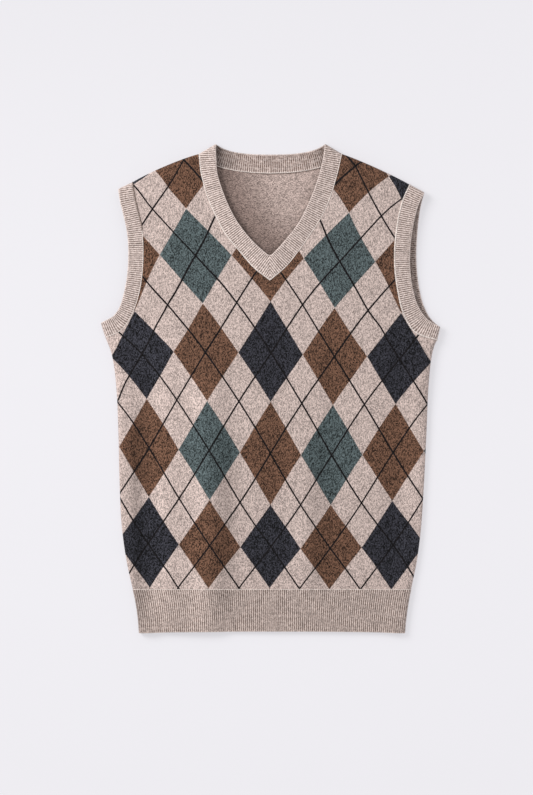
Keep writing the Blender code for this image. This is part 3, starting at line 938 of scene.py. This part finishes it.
# %% From grids to cloth
WALE, COURSE = 1.4, 1.35
RIB_WALE, RIB_COURSE = 1.46, 1.4
UV_MAPS = ("stitches", "chart", "nap")
MERGE_GAP = 0.01 * MM
MM_PER_CM, MM_PER_DM = 10, 100
sheets = {}


def lay_grid(bm, columns, rows, place):
    """Adds a grid. place(column, row) gives the spot of each point and its mark in each UV map."""
    layers = [bm.loops.layers.uv.get(name) or bm.loops.layers.uv.new(name) for name in UV_MAPS]
    points = bmesh.ops.create_grid(bm, x_segments=columns, y_segments=rows, size=1)["verts"]
    marks = {}
    for vert in points:
        column, row = round((vert.co.x + 1) / 2 * columns), round((vert.co.y + 1) / 2 * rows)
        spot, marks[vert] = place(column, row)
        vert.co = Vector(spot) * MM
    for face in {face for vert in points for face in vert.link_faces}:
        for corner in face.loops:
            for layer, mark in zip(layers, marks[corner.vert]):
                corner[layer].uv = mark
    return points


def add_piece(name, bm, finishes):
    """Makes a smooth object from a bmesh, with its finishes."""
    for face in bm.faces:
        face.smooth = True
    mesh = bpy.data.meshes.new(name)
    bm.to_mesh(mesh)
    bm.free()
    for finish in finishes:
        mesh.materials.append(finish)
    piece = bpy.data.objects.new(name, mesh)
    bpy.context.scene.collection.objects.link(piece)
    return piece


def finish_cloth(name, bm, wall, grows, finishes, stands_for, slot):
    """Merges the halves, gives the sheet its wall and its finish, and tells the frame what it stands for."""
    bmesh.ops.remove_doubles(bm, verts=bm.verts, dist=MERGE_GAP)
    sheets[name] = sum(face.calc_area() for face in bm.faces)
    cloth = add_piece(name, bm, finishes)
    thick = cloth.modifiers.new("wall", "SOLIDIFY")
    thick.thickness = wall * MM
    thick.offset = grows
    thick.use_even_offset = True
    thick.material_offset = len(finishes) - 1
    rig.ride(cloth, "root")
    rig.replaces(cloth, stands_for)
    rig.slot(cloth, slot)
    print(f"{name}: {len(cloth.data.polygons)} faces before its wall, {sheets[name]:.4f} square metres")


def rib_marks(wale_count, course_count, from_edge, nap=0.0):
    """The stitch coordinates, the distance from the free edge in centimetres, and the painted shade."""
    return (wale_count, course_count), (from_edge / MM_PER_CM, 0.0), (nap, 0.0)


# %% [markdown]
# ## Front and back panels
# Each panel is made in two halves that meet down the middle, because the V cuts the upper part in two. The
# rows of a half run from its outer edge, first the side seam and then the armhole, to its inner one, first
# the centre line and then the neck seam. At the shoulders whole rows dip together to turn over the fold.

# %% Rows of a panel
PANEL_ROWS = {
    # layer: rows up the side, from the underarm to the V, from there to the shoulder
    "front": (100, 28, 50),
    "back": (50, 40, 8),
}
PANEL_COLUMNS = {"front": 62, "back": 40}
HEM_END_ROWS = (0.0, 0.003)
FIRST_FULL_ROW = 0.01


def spread(start, end, count):
    return [start + (end - start) * (k + 1) / count for k in range(count)]


def panel_edge(row, ease=0.0):
    """Where a panel ends, a small gap away from the band that is linked to it."""
    seam, free = Vector(row[:2]), Vector(row[2:])
    return seam + (seam - free).normalized() * (SEAM_GAP + ease)


def seam_level(layer):
    return SEAM_HEIGHT + (SEAM_GAP / 2 if layer == "front" else -SEAM_GAP / 2)


def height_on(layer, face, seam, share):
    """The height of a layer in a fold: at the seam with a share of 0, on its outer face with a share of 1."""
    return seam + (face - seam) * share if layer == "front" else seam * (1 - share)


def body_rows(side, layer):
    """[(outer end, inner end, cloth from the side fold, cloth from the shoulder fold, shoulder bow)]."""
    body, to_neck, to_shoulder = PANEL_ROWS[layer]
    arm, neck = ARM_LINES[side, layer], NECK_LINES[side, layer]
    split = (ARMHOLE_AT_V if layer == "front" else ARMHOLE_AT_BACK_NECK) * arm.length
    foot = HEM_SEAM + SEAM_GAP / 2
    corner = panel_edge(arm.at(0)).y
    neck_foot = panel_edge(neck.at(0)).y
    rows = []
    for share in [*HEM_END_ROWS, *spread(FIRST_FULL_ROW, 1.0, body)[:-1]]:
        height, middle = foot + (corner - foot) * share, foot + (UNDERARM - foot) * share
        outer = Vector((edge_at(height, side), height))
        rows.append((outer, Vector((CENTRE_X, middle)), 0.0, FOLD_CLOTH, 0.0))
    low = [(turned(cloth)[0], cloth) for cloth in FOLD_ROWS]
    low += [(distance, FOLD_CLOTH) for distance in spread(low[-1][0], split, to_neck)]
    for k, (distance, cloth) in enumerate(low[:-1]):
        middle = UNDERARM + (neck_foot - UNDERARM) * k / (len(low) - 1)
        ease = CORNER_EASE * max(0.0, 1 - k / FOLD_STEPS)
        cloth = max(cloth, SEAM_LIP / 2)
        rows.append((panel_edge(arm.at(distance), ease), Vector((CENTRE_X, middle)), cloth, FOLD_CLOTH, 0.0))
    high = [(share, FOLD_CLOTH) for share in [0.0] + spread(0.0, 1.0, to_shoulder)]
    high += [(1.0, cloth) for cloth in FOLD_ROWS[-2::-1]]
    flat_arm, flat_neck = arm.length - FOLD_REACH - split, neck.length - FOLD_REACH
    for k, (share, cloth) in enumerate(high):
        past = FOLD_REACH - turned(cloth)[0]
        outer = panel_edge(arm.at(split + flat_arm * share + past))
        inner = panel_edge(neck.at(flat_neck * share + past)) if k else Vector((CENTRE_X, neck_foot))
        rows.append((outer, inner, FOLD_CLOTH, cloth, SHOULDER_BOW[side] * share**2))
    return rows


print("rows up half a front:", len(body_rows("left", "front")))


# %% Points of a panel
def panel_points(row, side, columns, layer):
    """One row of a half panel, from left to right: [((x, y, z), cloth across from the middle)]."""
    outer, inner, side_cloth, top_cloth, bow = row
    seam = seam_level(layer)
    reach = (inner - outer).normalized()
    start = turned(side_cloth)[0]
    places = []
    for extra in FOLD_ROWS:
        inset, share = turned(side_cloth + extra)
        places.append((outer + reach * (inset - start), share, extra))
    last, _, cloth = places[-1]
    rest = (inner - last).length
    places += [(last.lerp(inner, step), 1.0, cloth + rest * step) for step in spread(0.0, 1.0, columns)]
    level = turned(top_cloth)[1]
    whole = (inner - outer).length
    points = []
    for place, share, cloth in places:
        across = (place - outer).length / whole
        x, y = place.x, place.y + bow * (4 * across * (1 - across)) ** BOW_FULLNESS
        z = height_on(layer, front_height(x, y), seam, share * level)
        from_middle = cloth - places[-1][2] - abs(inner.x - CENTRE_X)
        points.append(((x, y, z), from_middle if side == "left" else -from_middle))
    return points if side == "left" else points[::-1]


def nearest(line, x, y):
    """How far a place is from a line of points."""
    spot = Vector((x, y))
    gaps = []
    for a, b in zip(line, line[1:]):
        f = min(1.0, max(0.0, (spot - a).dot(b - a) / (b - a).length_squared))
        gaps.append((spot - a.lerp(b, f)).length)
    return min(gaps)


# Lines that place the painted shadow inside the neck
FREE_LINE = [Vector(row[2:]) for row in NECK_FRONT["left"]]
SEAM_LINE = [Vector((-row[0], row[1])) for row in NECK_BACK[:0:-1]] + [Vector(row[:2]) for row in NECK_BACK]
V_POINT, POINT_SPREAD = 187.0, 1.3
OUT_OF_PAINTED_SHADOW = (1.0, 1.0)


def painted_shadow_marks(x, y):
    """In decimetres, how far a place is from the left or the point of the V and from the back neck seam, for the
    painted shadow.
    """
    if y < UNDERARM:
        return OUT_OF_PAINTED_SHADOW
    from_point = POINT_SPREAD * (y - V_POINT)
    return min(nearest(FREE_LINE, x, y), from_point) / MM_PER_DM, nearest(SEAM_LINE, x, y) / MM_PER_DM


def lay_panel(layer, finishes, slot):
    bm = bmesh.new()
    for side in SIDES:
        placed = [panel_points(row, side, PANEL_COLUMNS[layer], layer) for row in body_rows(side, layer)]

        def place(column, row):
            (x, y, z), across = placed[row][column]
            # on the back, the chart map carries the distances for the painted shadow inside the neck
            chart_mark = chart_coordinates(x, y) if layer == "front" else painted_shadow_marks(x, y)
            # painted fold shade, on the front only
            nap = painted_fold_shade_at(x, y) if layer == "front" else 0.0
            return (x, y, z), ((across / WALE, (y - HEM_SEAM) / COURSE), chart_mark, (nap, 0.0))

        lay_grid(bm, len(placed[0]) - 1, len(placed) - 1, place)
    grows = -1 if layer == "front" else 1
    finish_cloth(f"{layer}_cloth", bm, PANEL_WALL, grows, finishes, f"{layer}_panel", slot)


lay_panel("front", [argyle_knit], "argyle_knit")
lay_panel("back", [purl_knit, plain_knit], "plain_knit")

# %% [markdown]
# ## Ribs
# A one-by-one rib is knit and purl wales in turn. The knit wales stand up as round cords and the purl wales
# sink between them, which is what makes a rib springy. The cords are about half a millimetre high, so they
# are modelled: each rib gets six columns of the grid, and every point is pushed out along the cloth's own
# normal. Towards its seam and its free edge a rib flattens out.

# %% Raise the ribs
RIB_PERIOD = 2 * RIB_WALE
RIB_SPLIT = 6
RIB_RELIEF = 0.62
RIB_ROUND = 0.8
RIB_ROOM = 0.6
EDGE_WIDTH, EDGE_DROP = 1.6, 0.55


def rib_wave(wales):
    """How high a rib stands at this count of wales: 1 on a knit wale, 0 on a purl one."""
    return (0.5 + 0.5 * math.cos(math.pi * wales)) ** RIB_ROUND


def raise_points(bm, points, columns, lift, turned_over):
    """Moves the points of a grid out along their normals, each by its own lift in millimetres."""
    if turned_over:
        bmesh.ops.reverse_faces(bm, faces=bm.faces)
    bm.normal_update()
    normals = [vert.normal.copy() for vert in points]
    for index, (vert, normal) in enumerate(zip(points, normals)):
        row, column = divmod(index, columns + 1)
        vert.co += normal * lift[column, row] * MM


# %% [markdown]
# ### Hem ribs
# The hem is the deepest rib. It pulls the body in, so its sides slope, and its free edge is firm and thin.

# %% Hem
HEM_RIBS = 133
HEM_CORNER_SHARP = 3
HEM_STEPS = [0.0, 0.5, 1.2, 2.2, 4.0] + [9.0 + 6.2 * k for k in range(8)] + [55.6, 57.2, 58.3, 59.15]


def hem_points(side_share, up, layer):
    """A point of the hem: side_share runs from 0 at the left fold to 1 at the right one."""
    depth = HEM_SEAM - SEAM_GAP / 2 - HEM_EDGE
    corner = abs(2 * side_share - 1) ** HEM_CORNER_SHARP
    y = HEM_EDGE + up - HEM_CORNER_DROP * corner * (1 - up / depth)
    left, right = edge_at(y, "left"), edge_at(y, "right")
    cloth_wide = right - left + 2 * (FOLD_CLOTH - FOLD_REACH)
    cloth = side_share * cloth_wide
    near = min(cloth, cloth_wide - cloth)
    inset, share = turned(near)
    x = left + inset if cloth < cloth_wide / 2 else right - inset
    seam = seam_level(layer)
    return x, y, height_on(layer, front_height(x, y) + RIB_PROUD, seam, share)


def lay_hem(layer):
    bm = bmesh.new()
    columns = HEM_RIBS * RIB_SPLIT
    lift = {}

    def place(column, row):
        wales = 2 * column / RIB_SPLIT
        up = HEM_STEPS[row]
        spot = hem_points(column / columns, up, layer)
        height = RIB_RELIEF * (rib_wave(wales) - 0.5) - (1 - smooth(up / EDGE_WIDTH)) * EDGE_DROP / 2
        lift[column, row] = height if layer == "front" else min(0.0, height)
        # painted fold shade, on the front layer only
        nap = painted_fold_shade_at(spot[0], spot[1]) if layer == "front" else 0.0
        return spot, rib_marks(wales, up / RIB_COURSE, up, nap)

    points = lay_grid(bm, columns, len(HEM_STEPS) - 1, place)
    raise_points(bm, points, columns, lift, turned_over=layer == "back")
    name = f"hem_ribbing_{layer}"
    finish_cloth(name, bm, RIB_WALL - RIB_ROOM, -1, [hem_rib], f"hem_rib_{layer}", "rib_knit")


for layer in ("front", "back"):
    lay_hem(layer)

# %% [markdown]
# ### Neck band and armhole bands
# A band is one long strip that runs round its opening and turns over at the folds. Its stations are set by
# the length of cloth along the middle of the strip, so the ribs keep their width over the shoulder. The ribs
# lie square to the strip, so at the point of the V those of both sides meet in a row of small chevrons.

# %% Stations along a band
SEAM_STEPS = (0.0, 0.4, 0.9, 1.5)
FREE_STEPS = (1.8, 1.1, 0.5, 0.0)
BAND_MIDDLE = 20.0
ROUND_OFF = 1e-9
SEAM_FLAT, SEAM_DROP_WIDTH, FREE_LIP = 2.5, 1.5, 0.4


def half_band(line, layer, starts_in_fold):
    """(cloth length, f) where f(cloth) is (table row, heading, share of the height, layer) on this half."""
    first = FOLD_CLOTH if starts_in_fold else 0.0
    before = FOLD_REACH if starts_in_fold else 0.0
    flat = line.length - FOLD_REACH - before
    total = first + flat + FOLD_CLOTH

    def read(cloth):
        place, share = before + cloth - first, 1.0
        if cloth < first:
            place, share = turned(cloth)
        elif cloth > total - FOLD_CLOTH:
            inset, share = turned(total - cloth)
            place = line.length - inset
        return line.at(place), line.heading(place), share, layer

    return total, read


def ring_of(halves):
    """One reading function for a ring of halves, each (total, read, backwards)."""
    whole = sum(total for total, _, _ in halves)

    def read(cloth):
        for total, half, backwards in halves:
            if cloth <= total + ROUND_OFF:
                break
            cloth -= total
        row, heading, share, layer = half(total - cloth if backwards else cloth)
        return row, -heading if backwards else heading, share, layer

    return whole, read


# Painted shade on the bands: the back neck band is darker towards its left end, where the front band's shadow falls,
# and a little towards its right end; the right half of the front neck band and both armhole bands are a little darker
# all along.
BAND_PAINTED_SHADE = {
    # (node, layer): rows of (x where the change starts, reach, deeper by)
    ("neck_band", "front"): ((0.0, 12.0, -0.10),),
    ("neck_band", "back"): ((-36.0, -28.0, -0.36), (52.0, 20.0, -0.16)),
}
ARMHOLE_DARKER = {"armhole_band_left": -0.10, "armhole_band_right": -0.05}


def band_painted_shade(stands_for, layer, x):
    nap = ARMHOLE_DARKER.get(stands_for, 0.0)
    for start, reach, deeper in BAND_PAINTED_SHADE.get((stands_for, layer), ()):
        nap += deeper * smooth((x - start) / reach)
    return nap


def lay_band(name, stands_for, halves, turned_over, row_gap):
    whole, read = ring_of(halves)
    ribs = round(whole / RIB_PERIOD)
    columns = ribs * RIB_SPLIT
    stations = [read(whole * column / columns) for column in range(columns + 1)]
    middle_rows = round(BAND_MIDDLE / row_gap)
    rows = len(SEAM_STEPS) + middle_rows + len(FREE_STEPS)
    bm = bmesh.new()
    lift = {}

    def place(column, row):
        (seam_x, seam_y, free_x, free_y), heading, share, layer = stations[column]
        width = math.hypot(free_x - seam_x, free_y - seam_y)
        if row < len(SEAM_STEPS):
            across = SEAM_STEPS[row]
        elif row < len(SEAM_STEPS) + middle_rows:
            inner_width = width - SEAM_STEPS[-1] - FREE_STEPS[0]
            across = SEAM_STEPS[-1] + inner_width * (row - len(SEAM_STEPS) + 1) / (middle_rows + 1)
        else:
            across = width - FREE_STEPS[row - len(SEAM_STEPS) - middle_rows]
        f = across / width
        x, y = seam_x + (free_x - seam_x) * f, seam_y + (free_y - seam_y) * f
        z = height_on(layer, front_height(x, y) + BAND_PROUD, SEAM_HEIGHT, share)
        from_middle = Vector((free_x - seam_x, free_y - seam_y)) * (f - 0.5)
        wales = 2 * (column / RIB_SPLIT + from_middle.dot(heading) * ribs / whole)
        raised = smooth(across / SEAM_FLAT) * smooth((width - across + FREE_LIP) / EDGE_WIDTH)
        height = RIB_RELIEF * (rib_wave(wales) - 0.5) * raised
        height -= EDGE_DROP * (1 - smooth((width - across) / EDGE_WIDTH)) * share
        height -= EDGE_DROP * (1 - smooth(across / SEAM_DROP_WIDTH)) * share
        lift[column, row] = min(0.0, height) if layer == "back" and share == 1.0 else height
        # painted shade of the band
        nap = band_painted_shade(stands_for, layer, x)
        return (x, y, z), rib_marks(wales, across / RIB_COURSE, width - across, nap)

    points = lay_grid(bm, columns, rows - 1, place)
    raise_points(bm, points, columns, lift, turned_over)
    print(f"{name}: {ribs} ribs round {whole:.0f} mm")
    finish_cloth(name, bm, BAND_WALL - RIB_ROOM, -1, [band_rib], stands_for, "rib_knit")


# %% Neck band and armhole bands
def neck_half(side, layer, backwards):
    return (*half_band(NECK_LINES[side, layer], layer, False), backwards)


def arm_half(side, layer, backwards=False):
    return (*half_band(ARM_LINES[side, layer], layer, True), backwards)


neck_halves = [
    neck_half("left", "front", False), neck_half("left", "back", True),
    neck_half("right", "back", False), neck_half("right", "front", True),
]
lay_band("neck_ribbing", "neck_band", neck_halves, turned_over=True, row_gap=1.0)
for side in SIDES:
    halves = [arm_half(side, "front"), arm_half(side, "back", backwards=True)]
    turned_over = side == "right"
    lay_band(f"armhole_ribbing_{side}", f"armhole_band_{side}", halves, turned_over, row_gap=2.0)

# %% [markdown]
# ### Linking chains
# The pieces of fine knitwear are joined on a linking machine, loop by loop, with a chain stitch that shows as
# a fine cord beside a seam. Its pale yarn is a painted highlight where the cord catches the light, and a dark chain is
# a painted shadow where the seam sinks between the pieces. It is a thin tube whose radius swells once for each link. A
# grid rolled round the seam line makes it, and its ends are closed.

# %% Making a chain
CHAIN_LINK, CHAIN_SWELL = 2.3, 0.16
CHAIN_SIDES, CHAIN_SPLIT = 8, 4
SIDES_PER_WALE = 3
SHORTEST = 1e-6
# painted highlight: pale yarn for the raised chains; painted shadow: dark yarn for a chain in the sunk seam. Each gap
# is the share of painted shade in the nick between links.
PAINTED_HIGHLIGHT_YARN, PAINTED_HIGHLIGHT_GAP = (0.84, 0.745, 0.70, 1.0), 0.72
PAINTED_SHADOW_YARN, PAINTED_SHADOW_GAP = (0.30, 0.23, 0.20, 1.0), 0.35


def chain_finish(name, colour, gap):
    """Yarn of a chain, with painted shade where each loop dives under the next, by the share given as gap."""
    material, net, shader = new_finish(name, RIB_SHEEN)
    stitches = net.uv("stitches")
    spot = net.add("ShaderNodeTexCoord").outputs["Object"]
    links = use_group(net, chain_links, Stitches=stitches, Place=spot, **{"Gap shade": gap})
    yarn = use_group(net, melange, Stitches=stitches, Colour=colour, Contrast=CHAIN_CONTRAST)
    net.feed(shader.inputs["Base Color"], net.scale(yarn.outputs["Colour"], links.outputs["Shade"]))
    add_relief(net, shader, links.outputs["Height"], CHAIN_BUMP)
    return material


# the pale yarn is a painted highlight on the raised chains
chain_yarn = chain_finish("linking yarn", PAINTED_HIGHLIGHT_YARN, PAINTED_HIGHLIGHT_GAP)
painted_shadow_yarn = chain_finish("linking yarn painted as shadow", PAINTED_SHADOW_YARN, PAINTED_SHADOW_GAP)


def evenly(points, gap):
    """Points this far apart along a line of points, in millimetres."""
    marks = [0.0]
    for a, b in zip(points, points[1:]):
        marks.append(marks[-1] + (b - a).length)
    count = max(2, round(marks[-1] / gap))
    found, k = [], 0
    for step in range(count + 1):
        goal = marks[-1] * step / count
        while k < len(points) - 2 and marks[k + 1] < goal:
            k += 1
        f = (goal - marks[k]) / max(SHORTEST, marks[k + 1] - marks[k])
        found.append(points[k].lerp(points[k + 1], min(1.0, f)))
    return found


def lay_chain(name, line, radius, yarn=chain_yarn):
    """Lays a chain along a line. Its radius is a number of millimetres, or a function of the place."""
    line = evenly(line, CHAIN_LINK / CHAIN_SPLIT)
    frames, normal = [], Vector((0, 0, 1))
    for k, spot in enumerate(line):
        ahead = (line[min(k + 1, len(line) - 1)] - line[max(k - 1, 0)]).normalized()
        normal = (normal - ahead * normal.dot(ahead)).normalized()
        frames.append((spot, normal, ahead.cross(normal)))

    def place(column, row):
        spot, normal, side = frames[column]
        turn = 2 * math.pi * row / CHAIN_SIDES
        swell = 1 + CHAIN_SWELL * math.cos(2 * math.pi * column / CHAIN_SPLIT)
        thick = radius(spot) if callable(radius) else radius
        reach = (normal * math.cos(turn) + side * math.sin(turn)) * thick * swell
        return spot + reach, rib_marks(row / SIDES_PER_WALE, column / CHAIN_SPLIT, 0.0)

    bm = bmesh.new()
    lay_grid(bm, len(frames) - 1, CHAIN_SIDES, place)
    bmesh.ops.remove_doubles(bm, verts=bm.verts, dist=MERGE_GAP)
    bmesh.ops.holes_fill(bm, edges=[edge for edge in bm.edges if edge.is_boundary], sides=CHAIN_SIDES)
    bmesh.ops.recalc_face_normals(bm, faces=bm.faces)
    chain = add_piece(name, bm, [yarn])
    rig.ride(chain, "root")
    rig.slot(chain, "rib_knit")
    print(f"{name}: {len(frames) // CHAIN_SPLIT} links")
    return chain


# %% [markdown]
# The chain beside the front of the neck is fuller on the left, where the seam allowance lies under it. The
# left armhole's chain is pale and fine below, and higher up it is dark yarn, a painted shadow where the seam sinks
# between the pieces.

# %% Chains along the seams
# painted shadow: from this height up the left armhole's chain is dark yarn
PAINTED_SHADOW_FROM = 222.0
PAINTED_SHADOW_ASIDE = Vector((0.3, 0, 0.3))
FULL_NECK, THIN_NECK = 1.0, 0.6
THINS_FROM, THINS_OVER = -30.0, 60.0
INSIDE_REACH = 96.0
HEM_CHAIN_POINTS = 400
HEM_CHAIN_SUNK = Vector((0, 0, -0.25))


def seam_run(halves, lift):
    """Points along the seam of a run of band halves, lifted off the cloth's face."""
    whole, read = ring_of(halves)
    points = []
    for step in range(int(whole) + 1):
        (seam_x, seam_y, _, _), _, share, layer = read(step * whole / int(whole))
        face = front_height(seam_x, seam_y) + lift
        z = height_on(layer, face, SEAM_HEIGHT, share) if layer == "front" else PANEL_WALL + lift
        points.append(Vector((seam_x, seam_y, z)))
    return points


def neck_radius(spot):
    return FULL_NECK - (FULL_NECK - THIN_NECK) * smooth((spot.x - THINS_FROM) / THINS_OVER)


front_neck = seam_run([neck_half("left", "front", True), neck_half("right", "front", False)], lift=0.1)
back_neck_run = seam_run([neck_half("left", "back", True), neck_half("right", "back", False)], lift=0.6)
inside = [point for point in back_neck_run if abs(point.x) < INSIDE_REACH]
right_arm = seam_run([arm_half("right", "front")], lift=0.3)
left_arm = seam_run([arm_half("left", "front")], lift=0.0)
low_arm = [point for point in left_arm if point.y < PAINTED_SHADOW_FROM]
shadow_arm = [point + PAINTED_SHADOW_ASIDE for point in left_arm if point.y >= PAINTED_SHADOW_FROM]
hem_seam = [k / HEM_CHAIN_POINTS for k in range(HEM_CHAIN_POINTS + 1)]
hem_seam = [Vector(hem_points(k, HEM_SEAM - HEM_EDGE, "front")) + HEM_CHAIN_SUNK for k in hem_seam]
chains = {
    "neck_ribbing": [
        lay_chain("linking_neck_front", front_neck, neck_radius),
        lay_chain("linking_neck_inside", inside, radius=0.55),
    ],
    "armhole_ribbing_right": [lay_chain("linking_armhole_right", right_arm, radius=1.15)],
    "armhole_ribbing_left": [
        lay_chain("linking_armhole_left", low_arm, radius=0.6),
        lay_chain("linking_armhole_left_painted_shadow", shadow_arm, radius=0.75, yarn=painted_shadow_yarn),
    ],
    "hem_ribbing_front": [lay_chain("linking_hem_front", hem_seam, radius=0.5)],
}

# %% [markdown]
# ## What each sheet was cut to
# The frame wants the flat size of every sheet: the rectangle it was cut from, and the area of the cut where
# that isn't a rectangle.

FLOOR_NAME = "floor"
FLAT = {
    # name: (width, length) of the rectangle in metres
    "front_cloth": (0.47, 0.62),
    "back_cloth": (0.47, 0.62),
    "hem_ribbing_front": (0.40, 0.062),
    "hem_ribbing_back": (0.40, 0.062),
    "neck_ribbing": (0.68, 0.034),
    "armhole_ribbing_left": (0.50, 0.026),
    "armhole_ribbing_right": (0.50, 0.026),
}
RESTS_ON = {"front_cloth": ["back_cloth"], "hem_ribbing_front": ["hem_ribbing_back"]}
for name, (width, length) in FLAT.items():
    area = min(sheets[name], width * length)
    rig.sheet(
        bpy.data.objects[name], flat=(width, length), held="laid", rests_on=RESTS_ON.get(name, [FLOOR_NAME]),
        area=area, with_pieces=chains.get(name, []),
    )
    print(f"{name}: cut from {width * 1000:.0f} x {length * 1000:.0f} mm, {area:.4f} square metres")

# %% [markdown]
# ## Floor, light and camera
# The vest lies on a matte white sweep. One soft light of a metre square, from the upper left, gives the ribs
# their relief and leaves a faint shadow to the right, and a white surround fills the rest. The floor's tone is
# painted darker towards the window and lighter away from it, painted light and shade that evens out the light, and the
# floor gives off a little light of its own, which softens the shadow. The camera looks straight down through a long
# lens, so perspective is slight.

# %% Floor
FLOOR_HALF = 20.0
FLOOR_DROP = 0.4 * MM
PAINTED_LIGHT_REACH = 0.6
# painted light and shade on the floor: darker towards the window at the upper left, lighter away from it
TONE, PAINTED_LIGHT_ACROSS, PAINTED_LIGHT_UP, PAINTED_LIGHT_TWIST, PAINTED_LIGHT_BEND = 0.842, 0.215, -0.15, 0.13, -0.10
FLOOR_TINT = (0.45, 0.448, 0.475)
FLOOR_GLOW, FLOOR_GLOW_STRENGTH = (1.0, 0.985, 1.025, 1.0), 0.475
GRAIN_SCALE, GRAIN_STRENGTH = 9.0, 0.012
paper = bpy.data.materials.new("pale floor")
paper.use_nodes = True
net = Net(paper.node_tree)
place = net.add("ShaderNodeTexCoord").outputs["Object"]
grain = net.add("ShaderNodeTexNoise", {"Vector": place, "Scale": GRAIN_SCALE, "Detail": 3.0}).outputs[0]
across, up = (
    net.math("MINIMUM", net.math("MAXIMUM", part, -PAINTED_LIGHT_REACH), PAINTED_LIGHT_REACH) for part in net.parts(place)
)
# painted light and shade: the floor's tone across and up
tone = net.math("MULTIPLY_ADD", across, net.math("MULTIPLY_ADD", up, PAINTED_LIGHT_TWIST, PAINTED_LIGHT_ACROSS), TONE)
tone = net.math("MULTIPLY_ADD", up, net.math("MULTIPLY_ADD", up, PAINTED_LIGHT_BEND, PAINTED_LIGHT_UP), tone)
tone = net.math("MULTIPLY_ADD", net.math("SUBTRACT", grain, 0.5), GRAIN_STRENGTH, tone)
shader = paper.node_tree.nodes["Principled BSDF"]
net.feed(shader.inputs["Base Color"], net.scale(FLOOR_TINT, tone))
shader.inputs["Emission Color"].default_value = FLOOR_GLOW
shader.inputs["Emission Strength"].default_value = FLOOR_GLOW_STRENGTH
shader.inputs["Roughness"].default_value = 0.95
shader.inputs["Specular IOR Level"].default_value = 0.1
bm = bmesh.new()
bmesh.ops.create_grid(bm, x_segments=1, y_segments=1, size=FLOOR_HALF)
bmesh.ops.translate(bm, verts=bm.verts, vec=(0, 0, -FLOOR_DROP))
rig.stage(add_piece(FLOOR_NAME, bm, [paper]))
print("floor", 2 * FLOOR_HALF, "m square")

# %% Light
SURROUND, SURROUND_STRENGTH = (1.0, 0.99, 0.985, 1.0), 0.65
WINDOW_POWER, WINDOW_SIZE, WINDOW_COLOUR = 38.0, 1.05, (1.0, 0.985, 0.965)
WINDOW_PLACE = Vector((-1.6, 0.95, 1.4))
world = bpy.data.worlds.new("soft surround")
bpy.context.scene.world = world
world.use_nodes = True
background = world.node_tree.nodes["Background"]
background.inputs["Color"].default_value = SURROUND
background.inputs["Strength"].default_value = SURROUND_STRENGTH
window = bpy.data.lights.new("window", "AREA")
window.shape, window.size = "SQUARE", WINDOW_SIZE
window.energy = WINDOW_POWER
window.color = WINDOW_COLOUR
window_object = bpy.data.objects.new("window", window)
bpy.context.scene.collection.objects.link(window_object)
window_object.location = WINDOW_PLACE
window_object.rotation_euler = (-WINDOW_PLACE).to_track_quat("-Z", "Y").to_euler()
bpy.context.scene.view_settings.view_transform = "Standard"

# %% Camera
VIEW_CENTRE = (-5.6, -11.9)
VIEW_HEIGHT = 1113.0
LENS = 100.0
SENSOR = 36.0
SEES_TO = 80.0
camera = bpy.data.cameras.new("camera")
camera.lens = LENS
camera.sensor_width = SENSOR
camera_object = bpy.data.objects.new("camera", camera)
bpy.context.scene.collection.objects.link(camera_object)
distance = VIEW_HEIGHT * LENS / SENSOR + CHEST_LOFT
camera_object.location = (VIEW_CENTRE[0] * MM, VIEW_CENTRE[1] * MM, distance * MM)
camera.clip_end = SEES_TO
bpy.context.scene.camera = camera_object
print("camera", round(distance), "mm above the floor")

# %% [markdown]
# ## Sizes
# The sizes before and after dressing are written side by side.

# %% Sizes and finish
visual_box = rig.bounds()
with open("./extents.json", "w") as sizes:
    json.dump({"cad": [list(c) for c in cad_box], "visual": [list(c) for c in visual_box]}, sizes)
print("visual size in mm:", [round((high - low) / MM, 1) for low, high in zip(*visual_box)])
